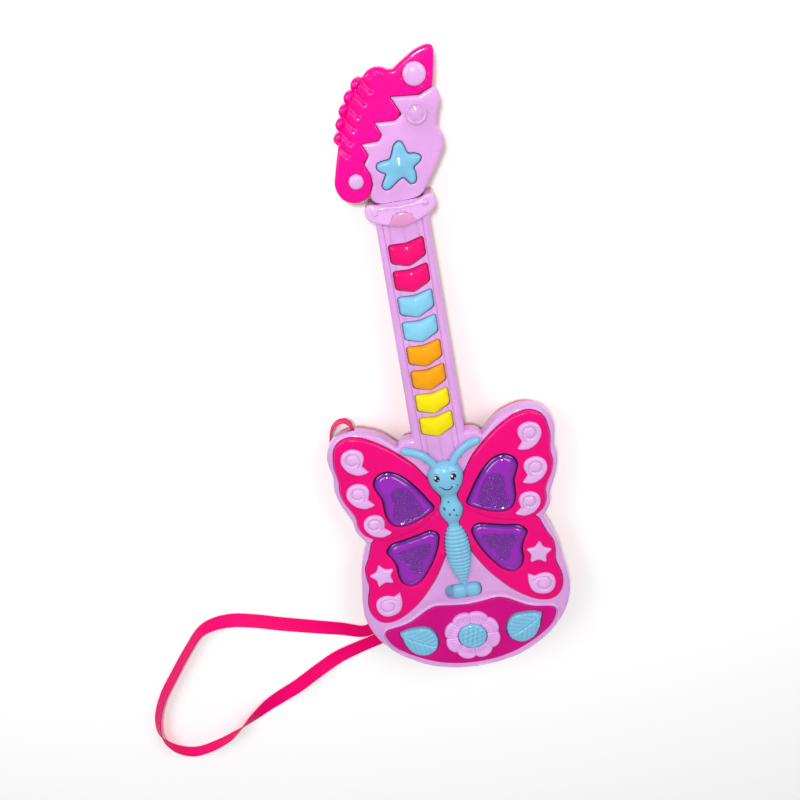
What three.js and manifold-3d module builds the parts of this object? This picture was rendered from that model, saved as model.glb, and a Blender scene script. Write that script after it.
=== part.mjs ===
// Toy electric guitar with a butterfly body and a ribbon strap, lying on its back.
// Millimetres. +X to the player's side, +Y to the headstock, +Z up, out of the face.
// The origin is under the middle of the guitar, on the surface that it rests on.
import * as THREE from 'three';
import { mergeVertices } from 'three/addons/utils/BufferGeometryUtils.js';
import Module from 'manifold-3d';

const wasm = await Module();
wasm.setup();

// ---- Driving dimensions ----
const GAP = 0.3; // air between pieces that rest on each other
const BUTTON_GAP = 0.5; // air round a button in its hole
const WALL = 2.2; // moulded wall
const BACK_INSET = 3; // how far the back shell of the body stands in from the front shell's edge

// Levels above the rest surface.
const UNDERSIDE_Z = 3.2; // back of the body outside the raised plateau
const PARTING_Z = 19.5; // where the two half shells meet
const DECK_UNDER_Z = 24.3; // underside of the face plate
const DECK_Z = 26.5; // floor of the recesses that hold the panels
const STRIP_Z = 28.2; // fretboard channel
const FACE_Z = 29; // lilac face and neck rails
const LOWER_WING_Z = 30.3;
const UPPER_WING_Z = 31.5;
const LENS_RISE = 0.8; // how far a window stands proud of its wing
const CONTROL_Z = 29.5; // top of the control panel
const RIDGE_Z = 30.8; // ridge round the control panel
const BUTTON_Z = 32.6; // top of the leaf and flower buttons
const NECK_BACK_Z = 7;
const HEAD_BACK_Z = 9;
const HEAD_Z = 29.4; // top of the lilac head shell
const CREST_Z = 28.6; // top of the pink crest

// Buttons travel 2 mm before their flange meets the mat.
const FLANGE_Z = 22.4; // underside of a button's flange
const FLANGE_TOP_Z = 23.9;
const MAT_Z = 20; // top of the rubber mats
const BOARD_Z = 17.6; // underside of the circuit boards

// Neck.
const NECK_TOP_HALF = 16.1; // half width at the nut
const NECK_FOOT_HALF = 18; // half width where it meets the body
const NECK_TOP_Y = 131;
const NECK_FOOT_Y = -42;
const CHANNEL_HALF = 11.9;
const STRING_SPACING = 8.6;

// Neck keys, counted from the nut.
const KEY_COUNT = 8;
const KEY_FIRST_Y = 104.8;
const KEY_PITCH = 16.66;
const KEY_HALF = 10.8;
const KEY_ARM = 1.7; // rise of the V at the outer corners, top edge
const KEY_DEPTH = 13.9; // V point to V point
const KEY_SIDE_DEPTH = 11.4; // height of the outer edges
const KEY_SKEW = 0.11; // the right arm stands a little higher than the left
const KEY_EDGE_Z = 30;
const KEY_RIDGE_Z = 31.5;

// Power.
const CELL_RADIUS = 7.15;
const CELL_LENGTH = 50;
const CELL_PITCH = 15;
const CELL_Y = -140.5;
const CELL_Z = 10.2;
const DOOR = { half: 25.5, top: -112, bottom: -178, z0: 0.3, z1: 2.1 };

// Loudspeaker.
const SPEAKER = { y: -74, radius: 20, z0: 4.2, z1: 15.5 };

const CASE_SCREWS = [[-59, -48], [59, -48], [-54, -162], [54, -162]];
const CASE_SCREW = { headRadius: 3, headHeight: 1.8, shankRadius: 1.3, length: 14.5 };
const DOOR_SCREW_Y = -173.5;
const DOOR_SCREW_HEAD_Z = 1.2;
const DOOR_SCREW = { headRadius: 2.3, headHeight: 0.8, shankRadius: 1, length: 9 };
const LEDS = [[30, -66], [-30, -66], [30, -113], [-30, -113]]; // one behind each wing lens

const FLOWER = { x: 0, y: -185.3, petal: 20.4, notch: 18.2, disc: 10.3 };
const HEAD_STAR = { x: 4, y: 151.5 };
const SWITCH = { y: -147.6, tall: 11.2, half: 10.4, x: 1, travel: 3.6 }; // the knob at rest, to the right

// ---- Outlines, right half first, all counter-clockwise ----
const BODY_TAIL = [[0, -215], [26, -212], [45, -203], [61, -189], [70, -175], [74, -160], [73.6, -147],
  [71.8, -135], [70, -122], [66.6, -110], [61.8, -98.7]];
const BODY_WING = [[61.8, -98.7], [67.4, -89], [68.6, -80], [73.6, -67], [76, -55], [75, -45], [76.3, -35],
  [76, -28.5], [73, -21.8], [66.5, -16], [57, -14], [48, -15.8], [38, -20.4], [28.5, -29.8]];
const BODY_SHOULDER = [[28.5, -29.8], [25.2, -26.3], [20, -25.1], [0, -25.1]];

const UPPER_WING = [[0, -73], [9, -79.5], [17.3, -87], [26.7, -92.5], [38.7, -96], [48, -97], [56, -95.3],
  [62, -90.7], [64.8, -84], [64.8, -77.3], [67, -71], [70, -65], [72, -57], [71.2, -48], [72.3, -38],
  [71.6, -30.5], [70, -24], [66, -19], [59, -16.6], [50, -18.5], [40, -24.6], [30, -32.8], [20, -43],
  [12.5, -54.5], [5, -62], [0, -67]];
const LOWER_WING = [[0, -99], [8.7, -116], [17.3, -132], [24, -141.3], [32, -150.7], [41.3, -158.7],
  [50.7, -164], [58.7, -165.3], [64.7, -162.4], [68.4, -156], [69.3, -148], [68, -141], [66, -133.3],
  [66.6, -125.3], [66, -117.5], [63, -111.5], [60.5, -105], [58.5, -98.7], [52, -92], [28, -88], [0, -82]];
const CONTROL_PANEL = [[0, -210.3], [13.3, -209.3], [26.7, -206], [37.3, -201.3], [48, -194.7], [56, -188],
  [60.2, -181.5], [61.6, -176], [60, -172.2], [55, -170.8], [48, -169.6], [41.3, -167.3], [34.7, -163.3],
  [28, -159.3], [21.3, -157.4], [10, -158.8], [0, -159.7]];

const UPPER_LENS = [[11.3, -77.3], [14.7, -69.3], [20, -60.3], [26, -52.4], [33, -46.4], [40, -44.6],
  [46.6, -48], [48.7, -53.3], [47.2, -59], [45, -65], [44.8, -72], [44.2, -79], [41, -85.4],
  [34.5, -87.8], [26.7, -86.2], [19, -83]];
const LOWER_LENS = [[12.4, -105.5], [11.6, -98.5], [16.4, -94.7], [24, -96.3], [34, -98.7], [44.5, -101],
  [49, -106.5], [46.2, -112.8], [44.2, -119], [44, -127], [41.8, -133.8], [36, -137], [29.6, -134.3],
  [23.2, -127], [17, -117]];
const SNAIL = [[-9.3, -10.2], [-8, -11.2], [-2, -11.6], [4.2, -8], [7.6, -1], [5.6, 5.4], [-0.4, 8],
  [-6.4, 5.6], [-8.1, 0.6], [-5.9, -5.4]];
const TAIL_SNAIL = [[45.5, -140.4], [45, -145], [45.4, -150], [47, -154.5], [50, -157.3], [55.3, -158.8],
  [59.8, -157.9], [62.9, -154.5], [64, -150], [63.2, -145.6], [60.8, -142.9], [57.5, -141.7],
  [53.8, -141.8], [50.2, -143.2]];
const STAR_BUTTON = [[5.5, 165.4], [3.6, 164.4], [2.5, 163.2], [1.1, 160.1], [-1.1, 156.2], [-5.7, 155.5],
  [-8.8, 154.4], [-9.3, 151.9], [-7.5, 149.8], [-4.8, 148], [-5.7, 146], [-8, 141.2], [-6.4, 139.1],
  [-4.3, 139.1], [0, 141.9], [5, 144.4], [9.3, 140.1], [11.8, 140.9], [12.7, 145.9], [12.1, 149.1],
  [16.4, 152.6], [17.1, 154.8], [14.3, 156.9], [10, 157.8], [8.6, 161.6], [7.1, 164.8]];
const LEAF = [[51.4, -175.4], [46, -173.2], [39, -172.8], [32, -173.6], [27, -178], [25, -185],
  [27, -192.4], [33, -196.6], [39.5, -196.2], [45, -192.8], [49, -186]];

const HEAD_OUTLINE = [[-15.4, 133.5], [-16.1, 137.2], [-13.4, 143], [-13.6, 149], [-16.4, 155.2],
  [-12.8, 160.2], [-15.8, 167], [-5.6, 167.2], [-3.1, 170.3], [-6.1, 177.8], [5.6, 176.9],
  [10.2, 179.9], [5.2, 190.4], [21.7, 188.7], [30, 192], [33, 189.4], [33.2, 185], [30.4, 177.5],
  [29, 171], [31.9, 165], [31.7, 159], [26.7, 150.6], [20, 140.6], [15.4, 133.5],
  [10, 131.7], [0, 130.9], [-10, 131.3]];
const HORN = [[30.2, 192.4], [32.4, 202.8], [33.7, 211.7], [32.6, 214.4], [28.9, 215], [22.2, 212.9],
  [15.6, 209.2], [8.9, 205]];
const LOBE = [[-16.1, 156.7], [-13.9, 151.7], [-13.1, 145.8], [-15, 139.4], [-18.8, 135.3], [-24, 133.7],
  [-30, 135], [-34.4, 139.4], [-36, 146.1], [-34.2, 153.4], [-32.4, 159.4], [-30.2, 166]];
const RIBS = [[-27.6, 171.8, 4], [-24.8, 179.4, 4.2], [-21.6, 186.4, 4.2], [-17.2, 193.2, 4.4],
  [-11.6, 199.2, 4.8], [-0.6, 198, 9.8]];
const COLLAR = [[0, 116], [8, 117.4], [16, 120.8], [21, 125], [21.6, 129.5], [20.5, 132.8], [17, 132.8],
  [10, 130.2], [0, 128.9], [-10, 130.2], [-16, 131.8], [-19, 131.8], [-21.2, 128.6], [-20.6, 123.6],
  [-14.5, 119.8], [-7, 117.2]];
const NUT_DOME = [0.5, 116.2, 8.4];

// The strap's centre line: x, y, z and the turn of the ribbon about it, in degrees.
// At 0 it lies flat; at 90 it stands on its outer edge.
const STRAP = { width: 10.5, thick: 1, steps: 62 };
const STRAP_ROUTE = [[-56.5, -21, 17.4, 90], [-56.6, -15.5, 17.4, 90], [-57.6, -11.6, 17.3, 88],
  [-60.6, -9.6, 16.6, 84], [-64.8, -10.6, 14.6, 84], [-68.8, -14, 11.4, 86], [-72.2, -19.2, 8, 88],
  [-74.4, -26, 6, 88], [-75.2, -34, 5.8, 80], [-75.8, -43, 4.4, 46], [-73.4, -53, 1.8, 12],
  [-66, -66, 1, 0], [-58, -84, 1, 0], [-55, -108, 1, 0], [-56, -135, 1, 0],
  [-60, -162, 1, 0], [-66, -180, 1, 0], [-79, -189.4, 1, 0], [-98, -183.6, 1.8, 10],
  [-120, -176.8, 2.8, 20], [-142, -170.2, 3.2, 25], [-160, -164.4, 3.4, 28], [-176, -160.6, 4, 36],
  [-190, -160.8, 5, 52], [-201, -165, 5.6, 62], [-214, -179, 5.6, 62], [-231, -201, 5.4, 58],
  [-246, -222, 5.3, 56], [-256, -243, 5.1, 52], [-257.5, -258, 5.3, 56], [-248, -270, 6, 78],
  [-234, -276, 6.1, 94], [-217.5, -273, 6.1, 98], [-201, -266, 6, 88], [-191, -259.6, 5.6, 64],
  [-180, -252, 4.2, 34], [-168, -244.4, 2.4, 4], [-156.5, -237.6, 2.8, -16], [-140.5, -229, 3.5, -28],
  [-121, -217, 3.3, -26], [-104, -208, 2.4, -14], [-88, -203, 1.4, -4], [-74, -199, 1, 0],
  [-60, -194.5, 1, 0], [-48, -191, 1, 0], [-42, -190, 1.9, 0], [-39.6, -190, 4.8, 0],
  [-39, -190, 8.2, 0]];

// ---- Geometry helpers ----
const points = (list) => list.map(([x, y]) => new THREE.Vector2(x, y));

/** An open smooth run through a few points. */
const run = (list, count) => new THREE.SplineCurve(points(list)).getPoints(count);

/** A closed smooth outline through a few points, evenly spaced. */
function loop(list, count) {
  const knots = list.map(([x, y]) => new THREE.Vector3(x, y, 0));
  const curve = new THREE.CatmullRomCurve3(knots, true, 'centripetal');
  return curve.getSpacedPoints(count).slice(0, count).map((p) => new THREE.Vector2(p.x, p.y));
}

/** Completes an outline whose right half runs from the axis back to the axis. */
function mirrorHalf(half) {
  const other = half.slice(1, -1).reverse().map((p) => new THREE.Vector2(-p.x, p.y));
  return [...half, ...other];
}

/** Every other point of an outline, for faces that nobody sees. */
const coarse = (outline) => outline.filter((_, i) => i % 2 === 0);

/** The same outline on the left side. */
const mirrored = (outline) => outline.map((p) => new THREE.Vector2(-p.x, p.y)).reverse();

/** Moves, turns and scales an outline. */
function placed(outline, x, y, turn = 0, scale = 1) {
  const origin = new THREE.Vector2();
  return outline.map((p) => p.clone().multiplyScalar(scale).rotateAround(origin, turn)
    .add(new THREE.Vector2(x, y)));
}

/** Moves every point of a counter-clockwise outline outwards by an amount. */
function grow(outline, amount) {
  const count = outline.length;
  return outline.map((p, i) => {
    const arrive = p.clone().sub(outline[(i + count - 1) % count]).normalize();
    const leave = outline[(i + 1) % count].clone().sub(p).normalize();
    const normal = new THREE.Vector2(arrive.y + leave.y, -arrive.x - leave.x).normalize();
    const facing = Math.max(0.5, normal.x * arrive.y - normal.y * arrive.x);
    return p.clone().addScaledVector(normal, amount / facing);
  });
}

/** A polygon with rounded corners. */
function rounded(corners, radius, divisions = 2) {
  const path = new THREE.Path();
  const count = corners.length;
  corners.forEach((corner, i) => {
    const arrive = corners[(i + count - 1) % count].clone().sub(corner).setLength(radius).add(corner);
    const leave = corners[(i + 1) % count].clone().sub(corner).setLength(radius).add(corner);
    if (i === 0) path.moveTo(arrive.x, arrive.y);
    else path.lineTo(arrive.x, arrive.y);
    path.quadraticCurveTo(corner.x, corner.y, leave.x, leave.y);
  });
  return path.getPoints(divisions);
}

function circle(x, y, radius, count) {
  return Array.from({ length: count }, (_, i) => {
    const angle = (i / count) * Math.PI * 2;
    return new THREE.Vector2(x + radius * Math.cos(angle), y + radius * Math.sin(angle));
  });
}

const rectangle = (x0, y0, x1, y1) => points([[x0, y0], [x1, y0], [x1, y1], [x0, y1]]);

/** A five-pointed star with its first point up. */
function star(outer, inner, turn = 0) {
  return Array.from({ length: 10 }, (_, i) => {
    const radius = i % 2 === 0 ? outer : inner;
    const angle = Math.PI / 2 + turn + (i * Math.PI) / 5;
    return new THREE.Vector2(radius * Math.cos(angle), radius * Math.sin(angle));
  });
}

/** Turns a closed three.js geometry into a solid that can be joined and cut. */
function solid(source) {
  const bare = source.clone();
  bare.deleteAttribute('normal');
  bare.deleteAttribute('uv');
  const merged = mergeVertices(bare, 1e-4);
  const index = merged.index.array;
  const triangles = [];
  for (let i = 0; i < index.length; i += 3) {
    const [a, b, c] = index.slice(i, i + 3);
    if (a !== b && b !== c && c !== a) triangles.push(a, b, c);
  }
  return new wasm.Manifold(new wasm.Mesh({
    numProp: 3,
    vertProperties: new Float32Array(merged.attributes.position.array),
    triVerts: new Uint32Array(triangles),
  }));
}

function geometryOf(body) {
  const mesh = body.getMesh();
  const geometry = new THREE.BufferGeometry();
  geometry.setAttribute('position', new THREE.BufferAttribute(new Float32Array(mesh.vertProperties), 3));
  geometry.setIndex(new THREE.BufferAttribute(new Uint32Array(mesh.triVerts), 1));
  geometry.computeVertexNormals();
  return geometry;
}

/** A straight-sided slab of an outline between two levels. */
function slab(outline, z0, z1) {
  const shape = new THREE.Shape(outline);
  const geometry = new THREE.ExtrudeGeometry(shape, { depth: z1 - z0, bevelEnabled: false });
  return solid(geometry.translate(0, 0, z0));
}

/** A slab with rounded top and bottom edges: inset and height of the rounding. */
function pebble(outline, z0, z1, inset, height, steps) {
  const geometry = new THREE.ExtrudeGeometry(new THREE.Shape(outline), {
    depth: z1 - z0 - 2 * height,
    bevelSize: inset,
    bevelOffset: -inset,
    bevelThickness: height,
    bevelSegments: steps,
  });
  return solid(geometry.translate(0, 0, z0 + height));
}

const EVERYTHING = rectangle(-400, -400, 400, 400);

/** A slab with a rounded top edge and a square bottom edge. */
function domed(outline, z0, z1, radius, steps = 1, inset = radius) {
  return pebble(outline, z0 - radius - 1, z1, inset, radius, steps).subtract(slab(EVERYTHING, z0 - 60, z0));
}

/** A slab with a rounded bottom edge and a square top edge. */
function keeled(outline, z0, z1, inset, height, steps = 1) {
  return pebble(outline, z0, z1 + height + 1, inset, height, steps).subtract(slab(EVERYTHING, z1, z1 + 60));
}

const cylinder = (x, y, radius, z0, z1, count = 16) => slab(circle(x, y, radius, count), z0, z1);
const join = (bodies) => bodies.reduce((sum, body) => sum.add(body));
const cut = (body, tools) => tools.reduce((rest, tool) => rest.subtract(tool), body);

// ---- Finished outlines ----
const bodyOutline = mirrorHalf([
  ...run(BODY_TAIL, 18),
  ...run(BODY_WING, 24).slice(1),
  ...run(BODY_SHOULDER.slice(0, 3), 3).slice(1),
  ...points(BODY_SHOULDER.slice(3)),
]);
const upperWing = mirrorHalf([
  ...run(UPPER_WING.slice(0, 7), 8),
  ...run(UPPER_WING.slice(6, 20), 20).slice(1),
  ...run(UPPER_WING.slice(19), 6).slice(1),
]);
const lowerWing = mirrorHalf([...run(LOWER_WING.slice(0, 18), 24), ...points(LOWER_WING.slice(18))]);
const controlPanel = mirrorHalf(run(CONTROL_PANEL, 20));
const lensHalves = { upper: loop(UPPER_LENS, 20).reverse(), lower: loop(LOWER_LENS, 20).reverse() };
const neckOutline = points([[-NECK_FOOT_HALF, NECK_FOOT_Y], [NECK_FOOT_HALF, NECK_FOOT_Y],
  [NECK_TOP_HALF, NECK_TOP_Y], [-NECK_TOP_HALF, NECK_TOP_Y]]);
const headOutline = points(HEAD_OUTLINE).reverse();
const crestOutline = points([...HORN, [0, 206], [-9, 203.5], [-15, 197], [-20, 190], [-24, 182], [-28, 174],
  [-30.2, 166], ...LOBE.slice().reverse().slice(1), [-8, 160], [4, 174], [14, 186]]);
const collarOutline = loop(COLLAR, 26);
const plateauOutline = rounded(points([[-44, -182], [44, -182], [48, -170], [48, -60], [38, -42], [-38, -42],
  [-48, -60], [-48, -170]]), 4, 2);
const leafRight = [...points(LEAF.slice(0, 1)), ...run(LEAF.slice(1), 16)];
const leaves = { right: leafRight, left: mirrored(leafRight) };
const flowerDisc = circle(FLOWER.x, FLOWER.y, FLOWER.disc, 20);
const headStar = loop(STAR_BUTTON, 40);
const keyOutlines = Array.from({ length: KEY_COUNT }, (_, i) => keyOutline(KEY_FIRST_Y - i * KEY_PITCH));

/** One V-shaped neck key, seen from above, its upper notch at the given y. */
function keyOutline(y) {
  const lean = (x) => KEY_SKEW * x;
  const top = y + KEY_ARM;
  const corners = points([
    [0, y - KEY_DEPTH],
    [KEY_HALF, top - KEY_SIDE_DEPTH + lean(KEY_HALF)],
    [KEY_HALF, top + lean(KEY_HALF)],
    [0, y],
    [-KEY_HALF, top + lean(-KEY_HALF)],
    [-KEY_HALF, top - KEY_SIDE_DEPTH + lean(-KEY_HALF)],
  ]);
  return rounded(corners, 2, 1);
}

function petalOutline() {
  const petals = 8;
  const count = 40;
  return Array.from({ length: count }, (_, i) => {
    const angle = (i / count) * Math.PI * 2;
    const lobe = Math.abs(Math.sin((petals / 2) * angle)) ** 0.7;
    const radius = FLOWER.notch + (FLOWER.petal - FLOWER.notch) * lobe;
    return new THREE.Vector2(FLOWER.x + radius * Math.cos(angle), FLOWER.y + radius * Math.sin(angle));
  });
}

/** The switch knob's outline, grown by an amount and stretched to the left. */
function switchOutline(clear, stretch) {
  const { x, y, half, tall } = SWITCH;
  const reach = half + clear;
  const rise = tall / 2 + clear;
  return rounded(rectangle(x - reach - stretch, y - rise, x + reach, y + rise), rise - 0.6, 4);
}

// ---- Shells ----

/** Runs the flanged buttons' holes through the face plate. */
function buttonHoles() {
  const holes = [...keyOutlines, ...Object.values(leaves), flowerDisc]
    .map((outline) => slab(grow(outline, BUTTON_GAP), DECK_UNDER_Z - 1, 40));
  return [...holes, slab(switchOutline(0.5, SWITCH.travel + 0.4), DECK_UNDER_Z - 1, 40)];
}

function frontShell() {
  const z0 = PARTING_Z + GAP / 2;
  const ridgeFoot = 3.2;
  const ridge = domed(grow(controlPanel, ridgeFoot), DECK_Z, RIDGE_Z, 1.3);
  const outer = join([
    domed(bodyOutline, z0, FACE_Z, 3, 2),
    domed(neckOutline, z0, FACE_Z, 2.2, 2),
    ridge,
  ]);
  const inner = join([
    slab(grow(coarse(bodyOutline), -BACK_INSET - 1.6), z0 - 1, DECK_UNDER_Z),
    slab(grow(neckOutline, -WALL), z0 - 1, DECK_UNDER_Z),
  ]);
  const channel = slab(rectangle(-CHANNEL_HALF, -44, CHANNEL_HALF, 126), STRIP_Z, 40);
  const recesses = [upperWing, lowerWing, controlPanel].map((o) => slab(grow(o, GAP), DECK_Z, 40));
  const windows = LEDS.map(([x, y]) => cylinder(x, y, 9, DECK_UNDER_Z - 1, 30, 10));
  const strings = [-1, 0, 1].flatMap((side) => {
    const x = side * STRING_SPACING;
    return [[-43.5, -26], [109, 118]].map(([y0, y1]) => (
      slab(rectangle(x - 0.35, y0, x + 0.35, y1), STRIP_Z - 0.5, STRIP_Z + 0.5)
    ));
  });
  const bosses = CASE_SCREWS.map(([x, y]) => cylinder(x, y, 3.4, z0, DECK_UNDER_Z + 0.5, 8));
  const pilots = CASE_SCREWS.map(([x, y]) => cylinder(x, y, 1.7, z0 - 1, 23.4, 6));
  const shell = cut(outer, [inner, channel, ...recesses, ...windows]);
  return cut(join([shell, ...strings, ...bosses]), [...buttonHoles(), ...pilots, strapSlot()]);
}

/** The upright slot in the upper left wing's edge that the strap comes out of. */
function strapSlot() {
  const [x, , z] = STRAP_ROUTE[0];
  const half = STRAP.width / 2 + 0.6;
  return slab(rectangle(x - 3.2, -30, x + 1.3, -5), z - half, z + half);
}

function backShell() {
  const z1 = PARTING_Z - GAP / 2;
  const edge = { inset: 6, height: 11 };
  const outer = join([
    keeled(grow(bodyOutline, -BACK_INSET), UNDERSIDE_Z, z1, edge.inset, edge.height, 2),
    keeled(plateauOutline, 0, UNDERSIDE_Z + 1, 1.2, 1.2),
    keeled(neckOutline, NECK_BACK_Z, z1, 4, 4, 2),
    keeled(headOutline, HEAD_BACK_Z, z1, 1, 1),
    keeled(crestOutline, HEAD_BACK_Z, z1, 1, 1),
    keeled(collarOutline, HEAD_BACK_Z - 1, z1, 2, 2),
    slab(rectangle(-13, 126, 13, 146), HEAD_BACK_Z + 1, z1),
    ...RIBS.map(([x, y, radius]) => cylinder(x, y, radius, HEAD_BACK_Z + 2, z1, 10)),
  ]);
  const room = [
    keeled(grow(coarse(bodyOutline), -BACK_INSET - WALL - 1), UNDERSIDE_Z + 2, 30, edge.inset / 2, edge.height - 3),
    slab(grow(plateauOutline, -WALL), 2, UNDERSIDE_Z + 3),
    slab(grow(neckOutline, -WALL - 0.6), NECK_BACK_Z + 3, 30),
    cylinder(HEAD_STAR.x, HEAD_STAR.y, 12.5, HEAD_BACK_Z + 3, 30, 20),
  ];
  return cut(join([cut(outer, room), ...backBosses(), batteryWalls()]), backOpenings());
}

function backBosses() {
  const caseBosses = CASE_SCREWS.map(([x, y]) => cylinder(x, y, 4.4, UNDERSIDE_Z + 0.6, PARTING_Z - 0.4, 8));
  return [...caseBosses, cylinder(0, DOOR_SCREW_Y, 4.2, 2.4, 14, 12)];
}

function batteryWalls() {
  const inside = rectangle(-23.4, CELL_Y - 27.8, 23.4, CELL_Y + 27.8);
  return slab(grow(inside, 1.5), 1.5, 16.6).subtract(slab(inside, 0, 20));
}

function backOpenings() {
  const counterbores = CASE_SCREWS.map(([x, y]) => cylinder(x, y, 3.6, -1, 9, 8));
  const screwHoles = CASE_SCREWS.map(([x, y]) => cylinder(x, y, 1.8, 0, 30, 6));
  const door = slab(rectangle(-DOOR.half, DOOR.bottom, DOOR.half, DOOR.top), -1, 2.4);
  const slots = [-3, -2, -1, 0, 1, 2, 3].map((row) => {
    const offset = row * 5;
    const reach = Math.sqrt((SPEAKER.radius - 2) ** 2 - offset ** 2);
    return slab(rectangle(-reach, SPEAKER.y + offset - 1.1, reach, SPEAKER.y + offset + 1.1), -1, 3);
  });
  const last = STRAP_ROUTE.at(-1);
  const tailSlot = slab(rectangle(last[0] - 7.4, last[1] - 6, last[0] + 1.4, last[1] + 6), -1, 8);
  return [...counterbores, ...screwHoles, door, ...slots, tailSlot, strapSlot(),
    cylinder(0, DOOR_SCREW_Y, 2.6, 0, 12, 10)];
}

// ---- Face pieces ----
const lensOpening = (outline) => slab(outline, DECK_Z - 1, 40);

function wingPanel() {
  const z0 = DECK_Z + GAP;
  const plates = join([
    domed(upperWing, z0, UPPER_WING_Z, 1.2),
    domed(lowerWing, z0, LOWER_WING_Z, 1),
  ]);
  const openings = Object.values(lensHalves).flatMap((half) => [half, mirrored(half)]).map(lensOpening);
  const saddle = figureBlank().map((outline) => slab(outline, FACE_Z, 40));
  return cut(plates, [...openings, ...saddle]);
}

/** Every snail and small star on the wings: name, outline and the level of its underside. */
function ornaments() {
  const snail = [...points(SNAIL.slice(0, 1)), ...run(SNAIL.slice(1), 14)];
  const tailSnail = [...points(TAIL_SNAIL.slice(0, 1)), ...run(TAIL_SNAIL.slice(1), 14)];
  const smallStar = rounded(star(9.9, 5.2), 2.4, 2);
  const upper = UPPER_WING_Z + GAP;
  const lower = LOWER_WING_Z + GAP;
  const rightSide = [
    { name: 'wing_snail_top', outline: placed(snail, 59.3, -32), z: upper },
    { name: 'wing_snail_middle', outline: placed(snail, 60.3, -57.8, -0.06), z: upper },
    { name: 'wing_snail_low', outline: placed(snail, 53.5, -82.8, -0.22, 0.95), z: upper },
    { name: 'wing_star', outline: placed(smallStar, 55, -124.6, -0.16), z: lower },
    { name: 'wing_snail_tail', outline: tailSnail, z: lower },
  ];
  return rightSide.flatMap(({ name, outline, z }) => [
    { name: `${name}_right`, outline, z },
    { name: `${name}_left`, outline: mirrored(outline), z },
  ]);
}

function lens(outline, panelZ) {
  return domed(grow(outline, -GAP), DECK_Z + GAP, panelZ + LENS_RISE, 1);
}

// The figure's silhouette: distance from the middle line and y, from the crown to the waist.
const FIGURE = [[0.1, -43.2], [4.5, -43.8], [8.6, -46.4], [11.4, -50.6], [11.9, -55.5], [10.6, -61],
  [7.8, -66], [5.6, -69.8], [6.2, -74], [8, -78.5], [7.9, -82.5], [6, -87.4], [4.1, -90.6], [3.7, -93.5]];
const ABDOMEN = { start: -94, end: -140, rings: 7, half: 8.7 };
const ANTENNA = [[6, -46, 30.6], [8.6, -41.4, 31], [13, -36.8, 31.4], [18.2, -33.4, 31.6],
  [23.6, -31.6, 31.6]];

/** The turned profile of the figure: crown, head, chest and ringed tail. */
function figureProfile() {
  const upper = run(FIGURE, 14).map((p) => [Math.max(p.x, 0), p.y]);
  const rings = [];
  const span = ABDOMEN.end - ABDOMEN.start;
  for (let i = 0; i < ABDOMEN.rings; i += 1) {
    const along = i / ABDOMEN.rings;
    const swell = 3.7 + (ABDOMEN.half - 3.7) * Math.sin(Math.PI * along ** 0.8) ** 0.7;
    const taper = along > 0.55 ? 1 - ((along - 0.55) / 0.45) ** 2 * 0.55 : 1;
    const y = ABDOMEN.start + span * along;
    rings.push([swell * taper - 0.35, y], [swell * taper + 0.25, y + span / ABDOMEN.rings / 2]);
  }
  return [[0, -43.2], ...upper.slice(1), ...rings, [1.6, ABDOMEN.end], [0, ABDOMEN.end - 0.8]];
}

/** Flat cut-outs that the figure needs in the wing panel. */
function figureBlank() {
  const side = figureProfile().map(([x, y]) => new THREE.Vector2(x, y)).reverse();
  const halves = side.slice(1, -1).reverse().map((p) => new THREE.Vector2(-p.x, p.y));
  return [grow([...side, ...halves], 0.9)];
}

function butterflyFigure() {
  const flatness = 0.66;
  const turned = new THREE.LatheGeometry(points(figureProfile().reverse()), 12);
  turned.scale(1, 1, flatness);
  turned.translate(0, 0, FACE_Z + GAP);
  const antennae = [1, -1].flatMap((side) => {
    const knots = ANTENNA.map(([x, y, z]) => new THREE.Vector3(side * x, y, z));
    const path = new THREE.CatmullRomCurve3(knots);
    const stalk = new THREE.ExtrudeGeometry(new THREE.Shape(circle(0, 0, 2.7, 8)), {
      steps: 6,
      extrudePath: path,
    });
    const tip = new THREE.SphereGeometry(3, 10, 6).translate(...knots.at(-1).toArray());
    return [solid(stalk), solid(tip)];
  });
  return join([solid(turned), ...antennae]).subtract(slab(EVERYTHING, 0, FACE_Z + GAP));
}

function controlPlate() {
  const holes = [...Object.values(leaves), flowerDisc];
  return cut(
    domed(controlPanel, DECK_Z + GAP, CONTROL_Z, 0.8),
    holes.map((outline) => slab(grow(outline, BUTTON_GAP), 20, 40)),
  );
}

/** A button: a rounded cap through the face and a wider flange under it. */
function button(outline, top, edge, spread = 1.6, inset = edge) {
  const cap = domed(outline, FLANGE_Z + 0.5, top, edge, 1, inset);
  return cap.add(slab(grow(outline, spread), FLANGE_Z, FLANGE_TOP_Z));
}

/** A neck key: flanged, with its top sloping down from a ridge along the neck. */
function neckKey(outline) {
  const eave = points([[0, 0], [KEY_HALF + 2, KEY_EDGE_Z - KEY_RIDGE_Z - 0.4], [KEY_HALF + 2, 6], [0, 6]]);
  const wedge = solid(new THREE.ExtrudeGeometry(new THREE.Shape(eave), { depth: 400, bevelEnabled: false })
    .rotateX(Math.PI / 2).translate(0, 200, KEY_RIDGE_Z));
  const otherWedge = wedge.mirror([1, 0, 0]);
  const body = button(outline, KEY_RIDGE_Z, 1, 0.9);
  return cut(body, [wedge, otherWedge]);
}

function petals() {
  return domed(petalOutline(), CONTROL_Z + GAP, 32.4, 1.6)
    .subtract(slab(grow(flowerDisc, BUTTON_GAP), 20, 40));
}

function switchKnob() {
  const { x, y } = SWITCH;
  const knob = domed(switchOutline(0, 0), 23, 32.6, 2);
  const waist = slab(rectangle(x - 0.8, y - 8, x + 0.8, y + 8), 31.2, 40);
  const apron = slab(rectangle(x - 18.5, y - 8, x + 12.2, y + 8), 22.6, FLANGE_TOP_Z);
  return knob.subtract(waist).add(apron);
}

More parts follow.
